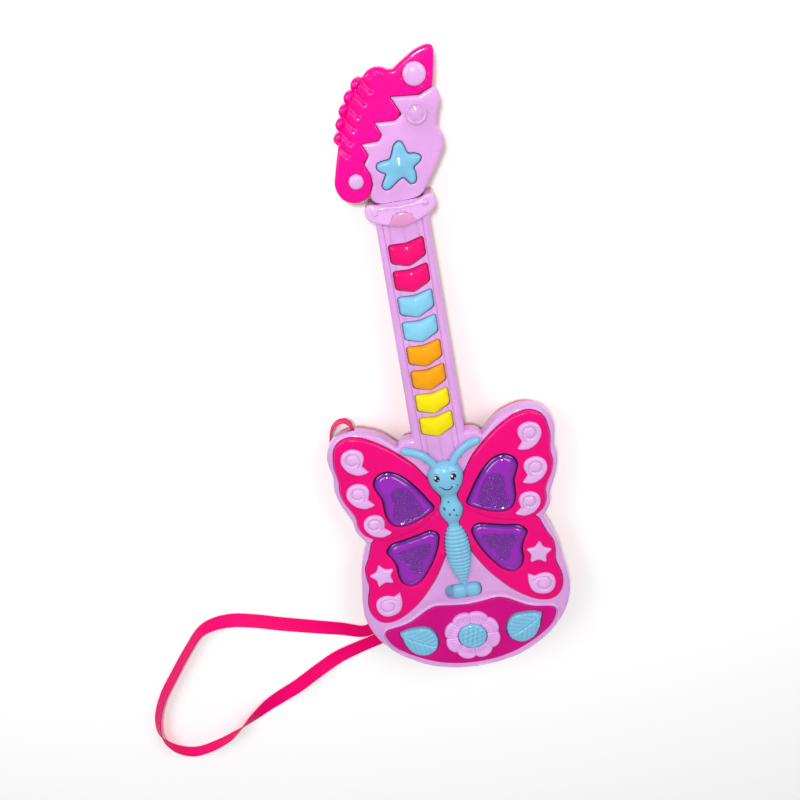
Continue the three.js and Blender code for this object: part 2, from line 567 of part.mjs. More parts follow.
// ---- Head ----
function headShell() {
  const ring = cylinder(18.5, 179, 6.6, HEAD_Z - 1, HEAD_Z + 0.9, 14);
  const hollow = slab(grow(headStar, 1.5), PARTING_Z - 1, DECK_UNDER_Z);
  const shell = domed(headOutline, PARTING_Z + GAP / 2, HEAD_Z, 1.2)
    .subtract(slab(grow(neckOutline, GAP), 0, 40));
  return cut(shell.add(ring), [
    cylinder(18.5, 179, 5, HEAD_Z, 40, 14),
    hollow,
    slab(grow(headStar, BUTTON_GAP), 20, 40),
  ]);
}

function headCrest() {
  const z0 = PARTING_Z + GAP / 2;
  const ribs = RIBS.map(([x, y, radius]) => domed(circle(x, y, radius, 10), z0, CREST_Z, 1.6));
  const crest = join([domed(crestOutline, z0, CREST_Z, 1.4), ...ribs]);
  return cut(crest, [
    slab(grow(headOutline, GAP), 0, 60),
    slab(circle(20.8, 200.6, 7, 14), CREST_Z - 1, 60),
    slab(circle(-22.9, 146.4, 4.8, 12), CREST_Z - 1, 60),
  ]);
}

function stud(x, y, radius, height) {
  const knots = [[0, 0], [radius, 0], [radius, 0.5], [radius * 0.8, height * 0.7], [0, height]];
  const lathe = new THREE.LatheGeometry(points(knots), 12).rotateX(Math.PI / 2);
  return solid(lathe.translate(x, y, CREST_Z - 1 + GAP));
}

function nutCollar() {
  const z0 = PARTING_Z + GAP / 2;
  const bar = domed(collarOutline, z0, 31.2, 1.5);
  const bumps = [[-15.2, 126.6], [15.6, 128.2]].map(([x, y]) => domed(circle(x, y, 1.9, 10), 30, 32.2, 1));
  const saddle = slab(grow(neckOutline, GAP), 0, FACE_Z + GAP);
  const headSide = slab(grow(headOutline, GAP), 0, 40);
  return cut(join([bar, ...bumps]), [saddle, headSide, slab(circle(...NUT_DOME, 16), 30.2, 40)]);
}

/** The low half dome that sits in the collar's lower edge. */
function nutDome() {
  const [x, y, radius] = NUT_DOME;
  const whole = domed(circle(x, y, radius - GAP, 16), 30.5, 32, 1);
  return whole.intersect(slab(grow(collarOutline, -0.4), 30, 40));
}

// ---- Inner pieces ----
function mainBoard() {
  const outline = points([[-50, -188], [-38, -199], [38, -199], [50, -188], [50, -169], [36, -164], [36, -58],
    [-36, -58], [-36, -164], [-50, -169]]);
  return slab(outline, BOARD_Z, BOARD_Z + 1.2);
}

function bodyMat() {
  const outline = points([[-49, -188], [-37, -198], [37, -198], [49, -188], [49, -170], [-49, -170]]);
  return slab(outline, BOARD_Z + 1.5, MAT_Z);
}

function speaker() {
  const { radius, z0, z1 } = SPEAKER;
  const profile = points([[0, z0 + 4], [radius - 4, z0 + 1], [radius, z0], [radius, z0 + 2],
    [radius - 5, z0 + 6], [10, z0 + 7], [10, z1], [0, z1]]);
  return solid(new THREE.LatheGeometry(profile, 16).rotateX(Math.PI / 2).translate(0, SPEAKER.y, 0));
}

/** A cell with its raised positive end, lying along Y. */
function cell(x, flip) {
  const half = CELL_LENGTH / 2;
  const profile = points([[0, -half], [CELL_RADIUS, -half], [CELL_RADIUS, half - 1.4], [2.6, half - 1.4],
    [2.6, half], [0, half]]);
  const lathe = new THREE.LatheGeometry(profile, 12);
  if (flip) lathe.rotateZ(Math.PI);
  return solid(lathe.translate(x, CELL_Y, CELL_Z));
}

function contactPlate(side) {
  const y = CELL_Y + side * (CELL_LENGTH / 2 + 1);
  return slab(rectangle(-22.5, y - 0.3, 22.5, y + 0.3), 3.2, 15.5);
}

function batteryDoor() {
  const clear = 0.4;
  const half = DOOR.half - clear;
  const plate = slab(rectangle(-half, DOOR.bottom + clear, half, DOOR.top - clear), DOOR.z0, DOOR.z1);
  const grip = [-1, 0, 1].map((row) => slab(rectangle(-8, -160 + row * 3, 8, -158.8 + row * 3), 0, 0.8));
  const counterbore = cylinder(0, DOOR_SCREW_Y, 2.7, -1, DOOR_SCREW_HEAD_Z + 0.2, 12);
  return cut(plate, [...grip, counterbore, cylinder(0, DOOR_SCREW_Y, 1.4, -1, 5, 10)]);
}

/** A screw pointing up, with its shank starting at z and its head below that. */
function screw(x, y, z, { headRadius, headHeight, shankRadius, length }) {
  const profile = points([[0, -headHeight], [headRadius * 0.8, -headHeight], [headRadius, -headHeight / 2],
    [headRadius, 0], [shankRadius, 0], [shankRadius, length - 1], [0, length]]);
  return solid(new THREE.LatheGeometry(profile, 8).rotateX(Math.PI / 2).translate(x, y, z));
}

function led(x, y) {
  const profile = points([[0, 0], [2.9, 0], [2.9, 1], [2.5, 1], [2.5, 4], [1.5, 5.4], [0, 6]]);
  return solid(new THREE.LatheGeometry(profile, 8).rotateX(Math.PI / 2).translate(x, y, BOARD_Z + 1.5));
}

// ---- Strap ----

/** The strap's centre line, which also tells an extrusion how the ribbon turns along it. */
class RibbonPath extends THREE.CatmullRomCurve3 {
  constructor(route) {
    super(route.map(([x, y, z]) => new THREE.Vector3(x, y, z)), false, 'centripetal');
    this.turns = route.map((knot) => THREE.MathUtils.degToRad(knot[3]));
  }

  turnAt(u) {
    const place = this.getUtoTmapping(u) * (this.turns.length - 1);
    const before = Math.min(Math.floor(place), this.turns.length - 2);
    return THREE.MathUtils.lerp(this.turns[before], this.turns[before + 1], place - before);
  }

  computeFrenetFrames(steps) {
    const frames = { tangents: [], normals: [], binormals: [] };
    const up = new THREE.Vector3(0, 0, 1);
    for (let i = 0; i <= steps; i += 1) {
      const tangent = this.getTangentAt(i / steps);
      const side = up.clone().cross(tangent).normalize();
      const width = side.applyAxisAngle(tangent, this.turnAt(i / steps));
      frames.tangents.push(tangent);
      frames.normals.push(width);
      frames.binormals.push(tangent.clone().cross(width));
    }
    return frames;
  }
}

function strap() {
  const { width, thick, steps } = STRAP;
  const w = width / 2;
  const t = thick / 2;
  const section = points([[-w, 0], [-w + 0.6, -t], [0, -t], [w - 0.6, -t], [w, 0], [w - 0.6, t], [0, t],
    [-w + 0.6, t]]);
  return solid(new THREE.ExtrudeGeometry(new THREE.Shape(section), {
    steps,
    extrudePath: new RibbonPath(STRAP_ROUTE),
  }));
}

// ---- Assembly ----
const plastic = (color, roughness = 0.32) => new THREE.MeshStandardMaterial({ color, roughness });
const metal = (color) => new THREE.MeshStandardMaterial({ color, roughness: 0.35, metalness: 1 });

const MATERIALS = {
  lilac: plastic(0xdcaaf0),
  pink: plastic(0xec0080),
  blue: plastic(0x86c8ec),
  orange: plastic(0xfca808),
  yellow: plastic(0xf6ec12),
  lens: plastic(0x9a1cc4, 0.15),
  ribbon: plastic(0xf00078, 0.5),
  rubber: plastic(0xd8d8d4, 0.8),
  board: plastic(0x1f6b3a, 0.6),
  black: plastic(0x202022, 0.6),
  led: plastic(0xf4f4f0, 0.15),
  steel: metal(0xb8bcc0),
  cell: plastic(0x2c5f9e, 0.35),
};

const guitar = new THREE.Group();

function add(name, body, material) {
  const mesh = new THREE.Mesh(geometryOf(body), material);
  mesh.name = name;
  guitar.add(mesh);
}

add('front_shell', frontShell(), MATERIALS.lilac);
add('back_shell', backShell(), MATERIALS.pink);
add('wing_panel', wingPanel(), MATERIALS.pink);
add('control_panel', controlPlate(), MATERIALS.pink);
for (const [level, panelZ] of [['upper', UPPER_WING_Z], ['lower', LOWER_WING_Z]]) {
  const half = lensHalves[level];
  add(`wing_lens_${level}_right`, lens(half, panelZ), MATERIALS.lens);
  add(`wing_lens_${level}_left`, lens(mirrored(half), panelZ), MATERIALS.lens);
}
for (const { name, outline, z } of ornaments()) add(name, domed(outline, z, z + 1.8, 1), MATERIALS.lilac);
add('butterfly_figure', butterflyFigure(), MATERIALS.blue);
add('slide_switch_knob', switchKnob(), MATERIALS.blue);
add('flower_petals', petals(), MATERIALS.lilac);
add('flower_button', button(flowerDisc, BUTTON_Z + 0.8, 1.6), MATERIALS.blue);
for (const [side, outline] of Object.entries(leaves)) {
  add(`leaf_button_${side}`, button(outline, BUTTON_Z, 1.4), MATERIALS.blue);
}
const keyColours = [MATERIALS.pink, MATERIALS.blue, MATERIALS.orange, MATERIALS.yellow];
keyOutlines.forEach((outline, i) => {
  add(`neck_key_${i + 1}`, neckKey(outline), keyColours[Math.floor(i / 2)]);
});
add('star_button', button(headStar, HEAD_Z + 2.6, 1.6, 1, 0.8), MATERIALS.blue);
add('head_shell', headShell(), MATERIALS.lilac);
add('head_crest', headCrest(), MATERIALS.pink);
add('crest_stud_large', stud(20.8, 200.6, 6.7, 3), MATERIALS.lilac);
add('crest_stud_small', stud(-22.9, 146.4, 4.5, 2.6), MATERIALS.lilac);
add('nut_collar', nutCollar(), MATERIALS.lilac);
add('nut_dome', nutDome(), MATERIALS.lilac);
add('strap_ribbon', strap(), MATERIALS.ribbon);
add('battery_door', batteryDoor(), MATERIALS.pink);
add('battery_door_screw', screw(0, DOOR_SCREW_Y, DOOR_SCREW_HEAD_Z, DOOR_SCREW), MATERIALS.steel);
[-1, 0, 1].forEach((row) => {
  add(`battery_cell_${row + 2}`, cell(row * CELL_PITCH, row === 0), MATERIALS.cell);
});
add('battery_contact_head', contactPlate(1), MATERIALS.steel);
add('battery_contact_tail', contactPlate(-1), MATERIALS.steel);
add('loudspeaker', speaker(), MATERIALS.black);
add('main_board', mainBoard(), MATERIALS.board);
add('body_button_mat', bodyMat(), MATERIALS.rubber);
add('neck_board', slab(rectangle(-11.4, -17, 11.4, 112), BOARD_Z, BOARD_Z + 1.2), MATERIALS.board);
add('neck_key_mat', slab(rectangle(-11.8, -24, 11.8, 112), BOARD_Z + 1.5, MAT_Z), MATERIALS.rubber);
LEDS.forEach(([x, y], i) => add(`wing_led_${i + 1}`, led(x, y), MATERIALS.led));
CASE_SCREWS.forEach(([x, y], i) => {
  add(`case_screw_${i + 1}`, screw(x, y, 8.7, CASE_SCREW), MATERIALS.steel);
});

export default guitar;
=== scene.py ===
"""Toy electric guitar with a butterfly body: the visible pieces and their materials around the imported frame."""
import math

import bpy
import numpy as np
from mathutils import Matrix, Vector
from mathutils.geometry import delaunay_2d_cdt
from mathutils.kdtree import KDTree


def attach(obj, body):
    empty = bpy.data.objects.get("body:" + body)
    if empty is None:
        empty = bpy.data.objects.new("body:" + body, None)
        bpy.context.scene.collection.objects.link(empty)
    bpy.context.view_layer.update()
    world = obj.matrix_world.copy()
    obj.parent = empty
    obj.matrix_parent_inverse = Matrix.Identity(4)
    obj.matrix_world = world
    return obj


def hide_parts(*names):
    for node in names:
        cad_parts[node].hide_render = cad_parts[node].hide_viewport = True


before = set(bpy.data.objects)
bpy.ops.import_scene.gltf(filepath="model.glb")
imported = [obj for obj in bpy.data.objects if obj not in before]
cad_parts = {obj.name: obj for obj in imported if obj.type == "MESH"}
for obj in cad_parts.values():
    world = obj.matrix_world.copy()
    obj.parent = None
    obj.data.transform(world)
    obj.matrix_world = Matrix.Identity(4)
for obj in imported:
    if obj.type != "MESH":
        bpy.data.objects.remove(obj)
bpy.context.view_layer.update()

MM = 0.001

# ---- Levels and sizes of the frame, in millimetres ----
GAP = 0.3
BUTTON_GAP = 0.5
PARTING_Z = 19.5
BACK_INSET = 2.6
DECK_UNDER_Z = 24.3
DECK_Z = 26.5
STRIP_Z = 28.2
FACE_Z = 29
LOWER_WING_Z = 30.3
UPPER_WING_Z = 31.5
LENS_RISE = 0.8
CONTROL_Z = 29.5
RIDGE_Z = 30.8
BUTTON_Z = 32.6
UNDERSIDE_Z = 3.2
NECK_BACK_Z = 7
HEAD_BACK_Z = 9
HEAD_Z = 29.4
CREST_Z = 28.6
FLANGE_Z = 22.4
FLANGE_TOP_Z = 23.9
CAP_FOOT_Z = FLANGE_TOP_Z - 0.2
CHANNEL_HALF = 11.9
STRING_SPACING = 8.6
KEY_COUNT, KEY_FIRST_Y, KEY_PITCH, KEY_HALF = 8, 104.8, 16.66, 10.8
KEY_ARM, KEY_DEPTH, KEY_SIDE_DEPTH, KEY_SKEW = 1.7, 13.9, 11.4, 0.11
KEY_EDGE_Z, KEY_RIDGE_Z = 30, 31.5
DOOR_HALF, DOOR_TOP, DOOR_BOTTOM = 25.5, -112, -178
DOOR_SCREW_Y = -173.5
SPEAKER_Y, SPEAKER_RADIUS = -74, 20
CASE_SCREWS = [(-59, -48), (59, -48), (-54, -162), (54, -162)]
# Head radius and height, shank radius and length.
CASE_SCREW, DOOR_SCREW = (3, 1.8, 1.3, 14.5), (2.3, 0.8, 1.0, 9)
FLOWER_Y, PETAL, NOTCH, DISC = -185.3, 20.4, 18.2, 10.3
STAR_X, STAR_Y = 4, 151.5
SWITCH_X, SWITCH_Y, SWITCH_HALF, SWITCH_TALL, SWITCH_TRAVEL = 1, -147.6, 10.4, 11.2, 3.6

BODY_TAIL = [(0, -215), (26, -212), (45, -203), (61, -189), (70, -175), (74, -160), (73.6, -147),
             (71.8, -135), (70, -122), (66.6, -110), (61.8, -98.7)]
BODY_WING = [(61.8, -98.7), (67.4, -89), (68.6, -80), (73.6, -67), (76, -55), (75, -45), (76.28, -35),
             (76, -28.5), (73, -21.8), (66.5, -16), (57, -14), (48, -15.8), (38, -20.4), (28.5, -29.8)]
BODY_SHOULDER = [(28.5, -29.8), (25.2, -26.3), (20, -25.1)]
UPPER_WING = [(0, -73), (9, -79.5), (17.3, -87), (26.7, -92.5), (38.7, -96), (48, -97), (56, -95.3),
              (62, -90.7), (64.8, -84), (64.8, -77.3), (67, -71), (70, -65), (72, -57), (71.2, -48),
              (72.3, -38), (71.6, -30.5), (70, -24), (66, -19), (59, -16.6), (50, -18.5), (40, -24.6),
              (30, -32.8), (20, -43), (12.5, -54.5), (5, -62), (0, -67)]
LOWER_WING = [(0, -99), (8.7, -116), (17.3, -132), (24, -141.3), (32, -150.7), (41.3, -158.7),
              (50.7, -164), (58.7, -165.3), (64.7, -162.4), (68.4, -156), (69.3, -148), (68, -141),
              (66, -133.3), (66.6, -125.3), (66, -117.5), (63, -111.5), (60.5, -105), (58.5, -98.7),
              (52, -92), (28, -88), (15.5, -82.5), (8, -76), (0, -75)]
CONTROL_PANEL = [(0, -210.3), (13.3, -209.3), (26.7, -206), (37.3, -201.3), (48, -194.7), (56, -188),
                 (60.2, -181.5), (61.6, -176), (60, -172.2), (55, -170.8), (48, -169.6), (41.3, -167.3),
                 (34.7, -163.3), (28, -159.3), (21.3, -157.4), (10, -158.8), (0, -159.7)]
UPPER_LENS = [(11.3, -77.3), (14.7, -69.3), (20, -60.3), (26, -52.4), (33, -46.4), (40, -44.6),
              (46.6, -48), (48.7, -53.3), (47.2, -59), (45, -65), (44.8, -72), (44.2, -79), (41, -85.4),
              (34.5, -87.8), (26.7, -86.2), (19, -83)]
LOWER_LENS = [(12.4, -105.5), (11.6, -98.5), (16.4, -94.7), (24, -96.3), (34, -98.7), (44.5, -101),
              (49, -106.5), (46.2, -112.8), (44.2, -119), (44, -127), (41.8, -133.8), (36, -137),
              (29.6, -134.3), (23.2, -127), (17, -117)]
SNAIL = [(-9.3, -10.2), (-8, -11.2), (-2, -11.6), (4.2, -8), (7.6, -1), (5.6, 5.4), (-0.4, 8), (-6.4, 5.6),
         (-8.1, 0.6), (-5.9, -5.4)]
TAIL_SNAIL = [(45.5, -140.4), (45, -145), (45.4, -150), (47, -154.5), (50, -157.3), (55.3, -158.8),
              (59.8, -157.9), (62.9, -154.5), (64, -150), (63.2, -145.6), (60.8, -142.9), (57.5, -141.7),
              (53.8, -141.8), (50.2, -143.2)]
STAR_BUTTON = [(5.5, 165.4), (3.6, 164.4), (2.5, 163.2), (1.1, 160.1), (-1.1, 156.2), (-5.7, 155.5),
               (-8.8, 154.4), (-9.3, 151.9), (-7.5, 149.8), (-4.8, 148), (-5.7, 146), (-8, 141.2), (-6.4, 139.1),
               (-4.3, 139.1), (0, 141.9), (5, 144.4), (9.3, 140.1), (11.8, 140.9), (12.7, 145.9), (12.1, 149.1),
               (16.4, 152.6), (17.1, 154.8), (14.3, 156.9), (10, 157.8), (8.6, 161.6), (7.1, 164.8)]
LEAF = [(51.4, -175.4), (46, -173.2), (39, -172.8), (32, -173.6), (27, -178), (25, -185), (27, -192.4),
        (33, -196.6), (39.5, -196.2), (45, -192.8), (49, -186)]
HEAD_OUTLINE = [(-15.4, 133.5), (-16.1, 137.2), (-13.4, 143), (-13.6, 149), (-16.4, 155.2), (-12.8, 160.2),
                (-15.8, 167), (-5.6, 167.2), (-3.1, 170.3), (-6.1, 177.8), (5.6, 176.9), (10.2, 179.9),
                (5.2, 190.4), (21.7, 188.7), (30, 192), (33, 189.4), (33.2, 185), (30.4, 177.5), (29, 171),
                (31.9, 165), (31.7, 159), (26.7, 150.6), (20, 140.6), (15.4, 133.5), (10, 131.7), (0, 130.9),
                (-10, 131.3)]
HORN = [(30.2, 192.4), (32.4, 202.8), (33.7, 211.7), (32.6, 214.3), (28.9, 214.88), (22.2, 212.9),
        (15.6, 209.2), (8.9, 205)]
LOBE = [(-16.1, 156.7), (-13.9, 151.7), (-13.1, 145.8), (-15, 139.4), (-18.8, 135.3), (-24, 133.7),
        (-30, 135), (-34.4, 139.4), (-36, 146.1), (-34.2, 153.4), (-32.4, 159.4), (-30.2, 166)]
RIBS = [(-27.6, 171.8, 4), (-24.8, 179.4, 4.2), (-21.6, 186.4, 4.2), (-17.2, 193.2, 4.4),
        (-11.6, 199.2, 4.8), (-0.6, 198, 9.8)]
COLLAR = [(0, 116), (8, 117.4), (16, 120.8), (21, 125), (21.6, 129.5), (20.5, 132.8), (17, 132.8), (10, 130.2),
          (0, 128.9), (-10, 130.2), (-16, 131.8), (-19, 131.8), (-21.2, 128.6), (-20.6, 123.6), (-14.5, 119.8),
          (-7, 117.2)]
NUT_DOME = (0.5, 116.2, 8.4)
HEAD_RING = (18.5, 179)
STUDS = {"crest_stud_large": (20.8, 200.6, 6.7, 3), "crest_stud_small": (-22.9, 146.4, 4.5, 2.6)}
PLATEAU = [(-44, -182), (44, -182), (48, -170), (48, -60), (38, -42), (-38, -42), (-48, -60), (-48, -170)]
NECK = [(-18, -42), (18, -42), (16.1, 131), (-16.1, 131)]
FIGURE = [(0.1, -43.2), (4.5, -43.8), (8.6, -46.4), (11.4, -50.6), (11.9, -55.5), (10.6, -61), (7.8, -66),
          (5.6, -69.8), (6.2, -74), (8, -78.5), (7.9, -82.5), (6, -87.4), (4.1, -90.6), (3.7, -93.5)]
ANTENNA = [(6, -46, 30.6), (8.6, -41.4, 31), (13, -36.8, 31.4), (18.2, -33.4, 31.6), (23.6, -31.6, 31.6)]

# The ribbon's centre line: x, y, z and its turn about the line in degrees, 0 flat and 90 on edge.
STRAP_WIDTH, STRAP_THICK, STRAP_STEP = 10, 0.9, 1.6
STRAP_ROUTE = [
    (-56.5, -21, 17.4, 90), (-56.6, -15.5, 17.4, 90), (-57.6, -11.6, 17.3, 94), (-60.6, -9.6, 16.6, 98),
    (-64.8, -10.6, 14.6, 97), (-68.8, -14, 11.4, 92), (-72.2, -19.2, 8, 88), (-74.4, -26, 6, 88),
    (-75.2, -34, 5.8, 80), (-75.8, -43, 4.4, 46), (-73.4, -53, 1.8, 12), (-66, -66, 1, 0), (-58, -84, 1, 0),
    (-55, -108, 1, 0), (-56, -135, 1, 0), (-60, -162, 1, 0),
    (-66, -180, 1, 0), (-79, -189.4, 1, 0), (-98, -183.6, 1.8, 10), (-120, -176.8, 2.8, 20),
    (-142, -170.2, 3.2, 25), (-160, -164.4, 3.4, 28), (-176, -160.6, 4, 36), (-190, -160.8, 5, 52),
    (-201, -165, 5.6, 62), (-214, -179, 5.6, 62), (-231, -201, 5.4, 58), (-246, -222, 5.3, 56),
    (-255.3, -243, 5.1, 52), (-256.4, -258, 5.3, 56), (-248, -270, 6, 78), (-234, -275.9, 6.1, 94),
    (-217.5, -273, 6.1, 98), (-201, -266, 6, 88), (-191, -259.6, 5.6, 64), (-180, -252, 4.2, 34),
    (-168, -244.4, 2.4, 4), (-156.5, -237.6, 2.8, -16), (-140.5, -229, 3.5, -28), (-121, -217, 3.3, -26),
    (-104, -208, 2.4, -14), (-88, -203, 1.4, -4), (-74, -199, 1, 0), (-60, -194.5, 1, 0),
    (-48, -191, 1, 0), (-42, -190, 1.9, 0), (-39.6, -190, 4.8, 0), (-39, -190, 8.2, 0)]


# ---- Camera ----
def make_camera():
    """The camera stands over the head and looks down the neck at the whole toy."""
    data = bpy.data.cameras.new("camera")
    data.sensor_width = 36
    data.lens = 42.75
    data.clip_start, data.clip_end = 0.01, 20
    camera = bpy.data.objects.new("camera", data)
    right = Vector((0.98572, -0.16810, 0.00967))
    up = Vector((0.15878, 0.90892, -0.38555))
    back = Vector((0.05602, 0.38158, 0.92264))
    place = Matrix((right, up, back)).transposed().to_4x4()
    place.translation = Vector((13.7, 239.32, 597.18)) * MM
    camera.matrix_world = place
    bpy.context.scene.collection.objects.link(camera)
    bpy.context.scene.camera = camera


make_camera()


# ---- Outlines ----
def spline(knots, step, closed=False, power=0.0):
    """A Catmull-Rom curve through the knots, about one point every step. power 0.5 is centripetal."""
    knots = [np.array(k, float) for k in knots]
    count = len(knots)
    out = []
    for i in range(count if closed else count - 1):
        p1, p2 = knots[i], knots[(i + 1) % count]
        if closed:
            p0, p3 = knots[i - 1], knots[(i + 2) % count]
        elif power:
            p0 = knots[i - 1] if i else 2 * p1 - p2
            p3 = knots[i + 2] if i + 2 < count else 2 * p2 - p1
        else:
            p0 = knots[i - 1] if i else p1
            p3 = knots[i + 2] if i + 2 < count else p2
        if power:
            d0, d1, d2 = (max(np.linalg.norm(b - a), 1e-6) ** power for a, b in ((p0, p1), (p1, p2), (p2, p3)))
            m1 = ((p1 - p0) / d0 - (p2 - p0) / (d0 + d1) + (p2 - p1) / d1) * d1
            m2 = ((p2 - p1) / d1 - (p3 - p1) / (d1 + d2) + (p3 - p2) / d2) * d1
        else:
            m1, m2 = (p2 - p0) / 2, (p3 - p1) / 2
        pieces = max(1, round(np.linalg.norm(p2 - p1) / step))
        for k in range(pieces):
            t = k / pieces
            out.append((2 * t ** 3 - 3 * t ** 2 + 1) * p1 + (t ** 3 - 2 * t ** 2 + t) * m1
                       + (3 * t ** 2 - 2 * t ** 3) * p2 + (t ** 3 - t ** 2) * m2)
    if not closed:
        out.append(knots[-1])
    return np.array(out)


def ccw(outline):
    outline = np.array(outline, float)
    x, y = outline[:, 0], outline[:, 1]
    area = np.sum(x * np.roll(y, -1) - np.roll(x, -1) * y)
    return outline if area > 0 else outline[::-1].copy()


def mirror(outline):
    return ccw(np.array(outline) * (-1, 1))


def both_halves(half):
    """Completes an outline whose right half runs from the middle line back to it."""
    half = np.array(half)
    return ccw(np.vstack([half, half[1:-1][::-1] * (-1, 1)]))


def densify(corners, step):
    """Points along straight edges, corners kept."""
    corners = np.array(corners, float)
    out = []
    for a, b in zip(corners, np.roll(corners, -1, axis=0)):
        pieces = max(1, int(np.ceil(np.linalg.norm(b - a) / step)))
        out += [a + (b - a) * k / pieces for k in range(pieces)]
    return np.array(out)


def straight(a, b, step):
    """Points along a straight line, both ends included."""
    there_and_back = densify([a, b], step)
    return there_and_back[:len(there_and_back) // 2 + 1]


def fillet(corners, radius, count, step):
    """A polygon with rounded corners; radius is the length taken off each edge."""
    corners = np.array(corners, float)
    out = []
    for i, corner in enumerate(corners):
        before, after = corners[i - 1] - corner, corners[(i + 1) % len(corners)] - corner
        reach = min(radius, 0.48 * np.linalg.norm(before), 0.48 * np.linalg.norm(after))
        a = corner + before / np.linalg.norm(before) * reach
        b = corner + after / np.linalg.norm(after) * reach
        for t in np.linspace(0, 1, count + 1):
            out.append((1 - t) ** 2 * a + 2 * t * (1 - t) * corner + t * t * b)
    return densify(ccw(out), step)


def grow(outline, amount):
    """Moves each point of a counter-clockwise outline outwards."""
    arrive = outline - np.roll(outline, 1, axis=0)
    arrive /= np.maximum(np.linalg.norm(arrive, axis=1, keepdims=True), 1e-9)
    leave = np.roll(arrive, -1, axis=0)
    normal = np.stack([arrive[:, 1] + leave[:, 1], -arrive[:, 0] - leave[:, 0]], axis=1)
    normal /= np.maximum(np.linalg.norm(normal, axis=1, keepdims=True), 1e-9)
    facing = np.maximum(normal[:, 0] * arrive[:, 1] - normal[:, 1] * arrive[:, 0], 0.6)
    return outline + normal * (amount / facing)[:, None]


def line_around(outline):
    """An outline as a line that returns to its start."""
    return np.vstack([outline, outline[:1]])


def inset_lines(outline, depths):
    return [line_around(grow(outline, -depth)) for depth in depths]


def placed(outline, x, y, turn=0.0, scale=1.0):
    c, s = math.cos(turn), math.sin(turn)
    return np.array(outline, float) * scale @ np.array([[c, s], [-s, c]]) + (x, y)


def circle(x, y, radius, count):
    angle = np.linspace(0, 2 * math.pi, count, endpoint=False)
    return np.stack([x + radius * np.cos(angle), y + radius * np.sin(angle)], axis=1)


def box2(x0, y0, x1, y1):
    return np.array([(x0, y0), (x1, y0), (x1, y1), (x0, y1)], float)


def star(outer, inner, turn=0.0):
    angle = math.pi / 2 + turn + np.arange(10) * math.pi / 5
    radius = np.where(np.arange(10) % 2 == 0, outer, inner)
    return np.stack([radius * np.cos(angle), radius * np.sin(angle)], axis=1)


def sdf(outline, p):
    """Distance of points p to a closed outline, negative inside."""
    out = np.empty(len(p))
    a = outline
    e = np.roll(outline, -1, axis=0) - a
    length = np.maximum((e * e).sum(1), 1e-12)
    for start in range(0, len(p), 4000):
        q = p[start:start + 4000]
        w = q[:, None, :] - a[None]
        t = np.clip((w * e).sum(-1) / length, 0, 1)
        near = np.sqrt(((w - t[..., None] * e) ** 2).sum(-1).min(1))
        above = a[None, :, 1] > q[:, None, 1]
        crosses = above != np.roll(above, -1, axis=1)
        side = w[..., 0] * e[None, :, 1] - w[..., 1] * e[None, :, 0]
        right = np.where(e[None, :, 1] > 0, side < 0, side > 0)
        inside = (crosses & right).sum(1) % 2 == 1
        out[start:start + 4000] = np.where(inside, -near, near)
    return out


def union(outlines, p):
    return np.min([sdf(o, p) for o in outlines], axis=0)


def run_along(line):
    """Length from a line's start to each of its points."""
    return np.concatenate([[0], np.cumsum(np.linalg.norm(np.diff(line, axis=0), axis=1))])


def line_distance(line, p):
    """Distance of points p to an open polyline."""
    a, e = line[:-1], line[1:] - line[:-1]
    w = p[:, None, :] - a[None]
    t = np.clip((w * e).sum(-1) / np.maximum((e * e).sum(1), 1e-12), 0, 1)
    return np.sqrt(((w - t[..., None] * e) ** 2).sum(-1).min(1))


def away_from(x, y, p):
    return np.hypot(p[:, 0] - x, p[:, 1] - y)


def plan_tree(points):
    """A search tree over points of the plan."""
    tree = KDTree(len(points))
    for i, point in enumerate(points):
        tree.insert((point[0], point[1], 0), i)
    tree.balance()
    return tree


def nearest(tree, p):
    """Distance of points p to the nearest point of a tree."""
    return np.array([tree.find((q[0], q[1], 0))[2] for q in p])


def drop(depth, radius, height=None):
    """How far a rounded edge lies below the flat, at a depth inside the outline."""
    height = radius if height is None else height
    u = np.clip(1 - depth / radius, 0, 1)
    return height * (1 - np.sqrt(1 - u * u))


def crown(depth, reach, rise):
    """A soft swelling of a face away from its edge."""
    u = np.clip(depth / reach, 0, 1)
    return rise * (1 - (1 - u) ** 2)


def groove(distance, half, deep):
    """A rounded groove or, with a negative depth, a bead."""
    u = np.clip(distance / half, 0, 1)
    return -deep * (1 - u * u) ** 2


def ring_depths(radius, count):
    """Depths inside an outline that divide a rounded edge into equal turns."""
    return [radius * (1 - math.cos(i * math.pi / 2 / count)) for i in range(1, count + 1)]


# ---- Surfaces ----
ROW_SHARE = 0.866  # rows of a triangular lattice, as a share of its spacing
LATTICE_CLEARANCE = 0.55  # how far the lattice keeps from lines and spots, as a share of its spacing
SLIVER = 1e-7


def doubled_area(plan, faces):
    a, b, c = (plan[faces[:, corner]] for corner in range(3))
    return np.cross(b - a, c - a)


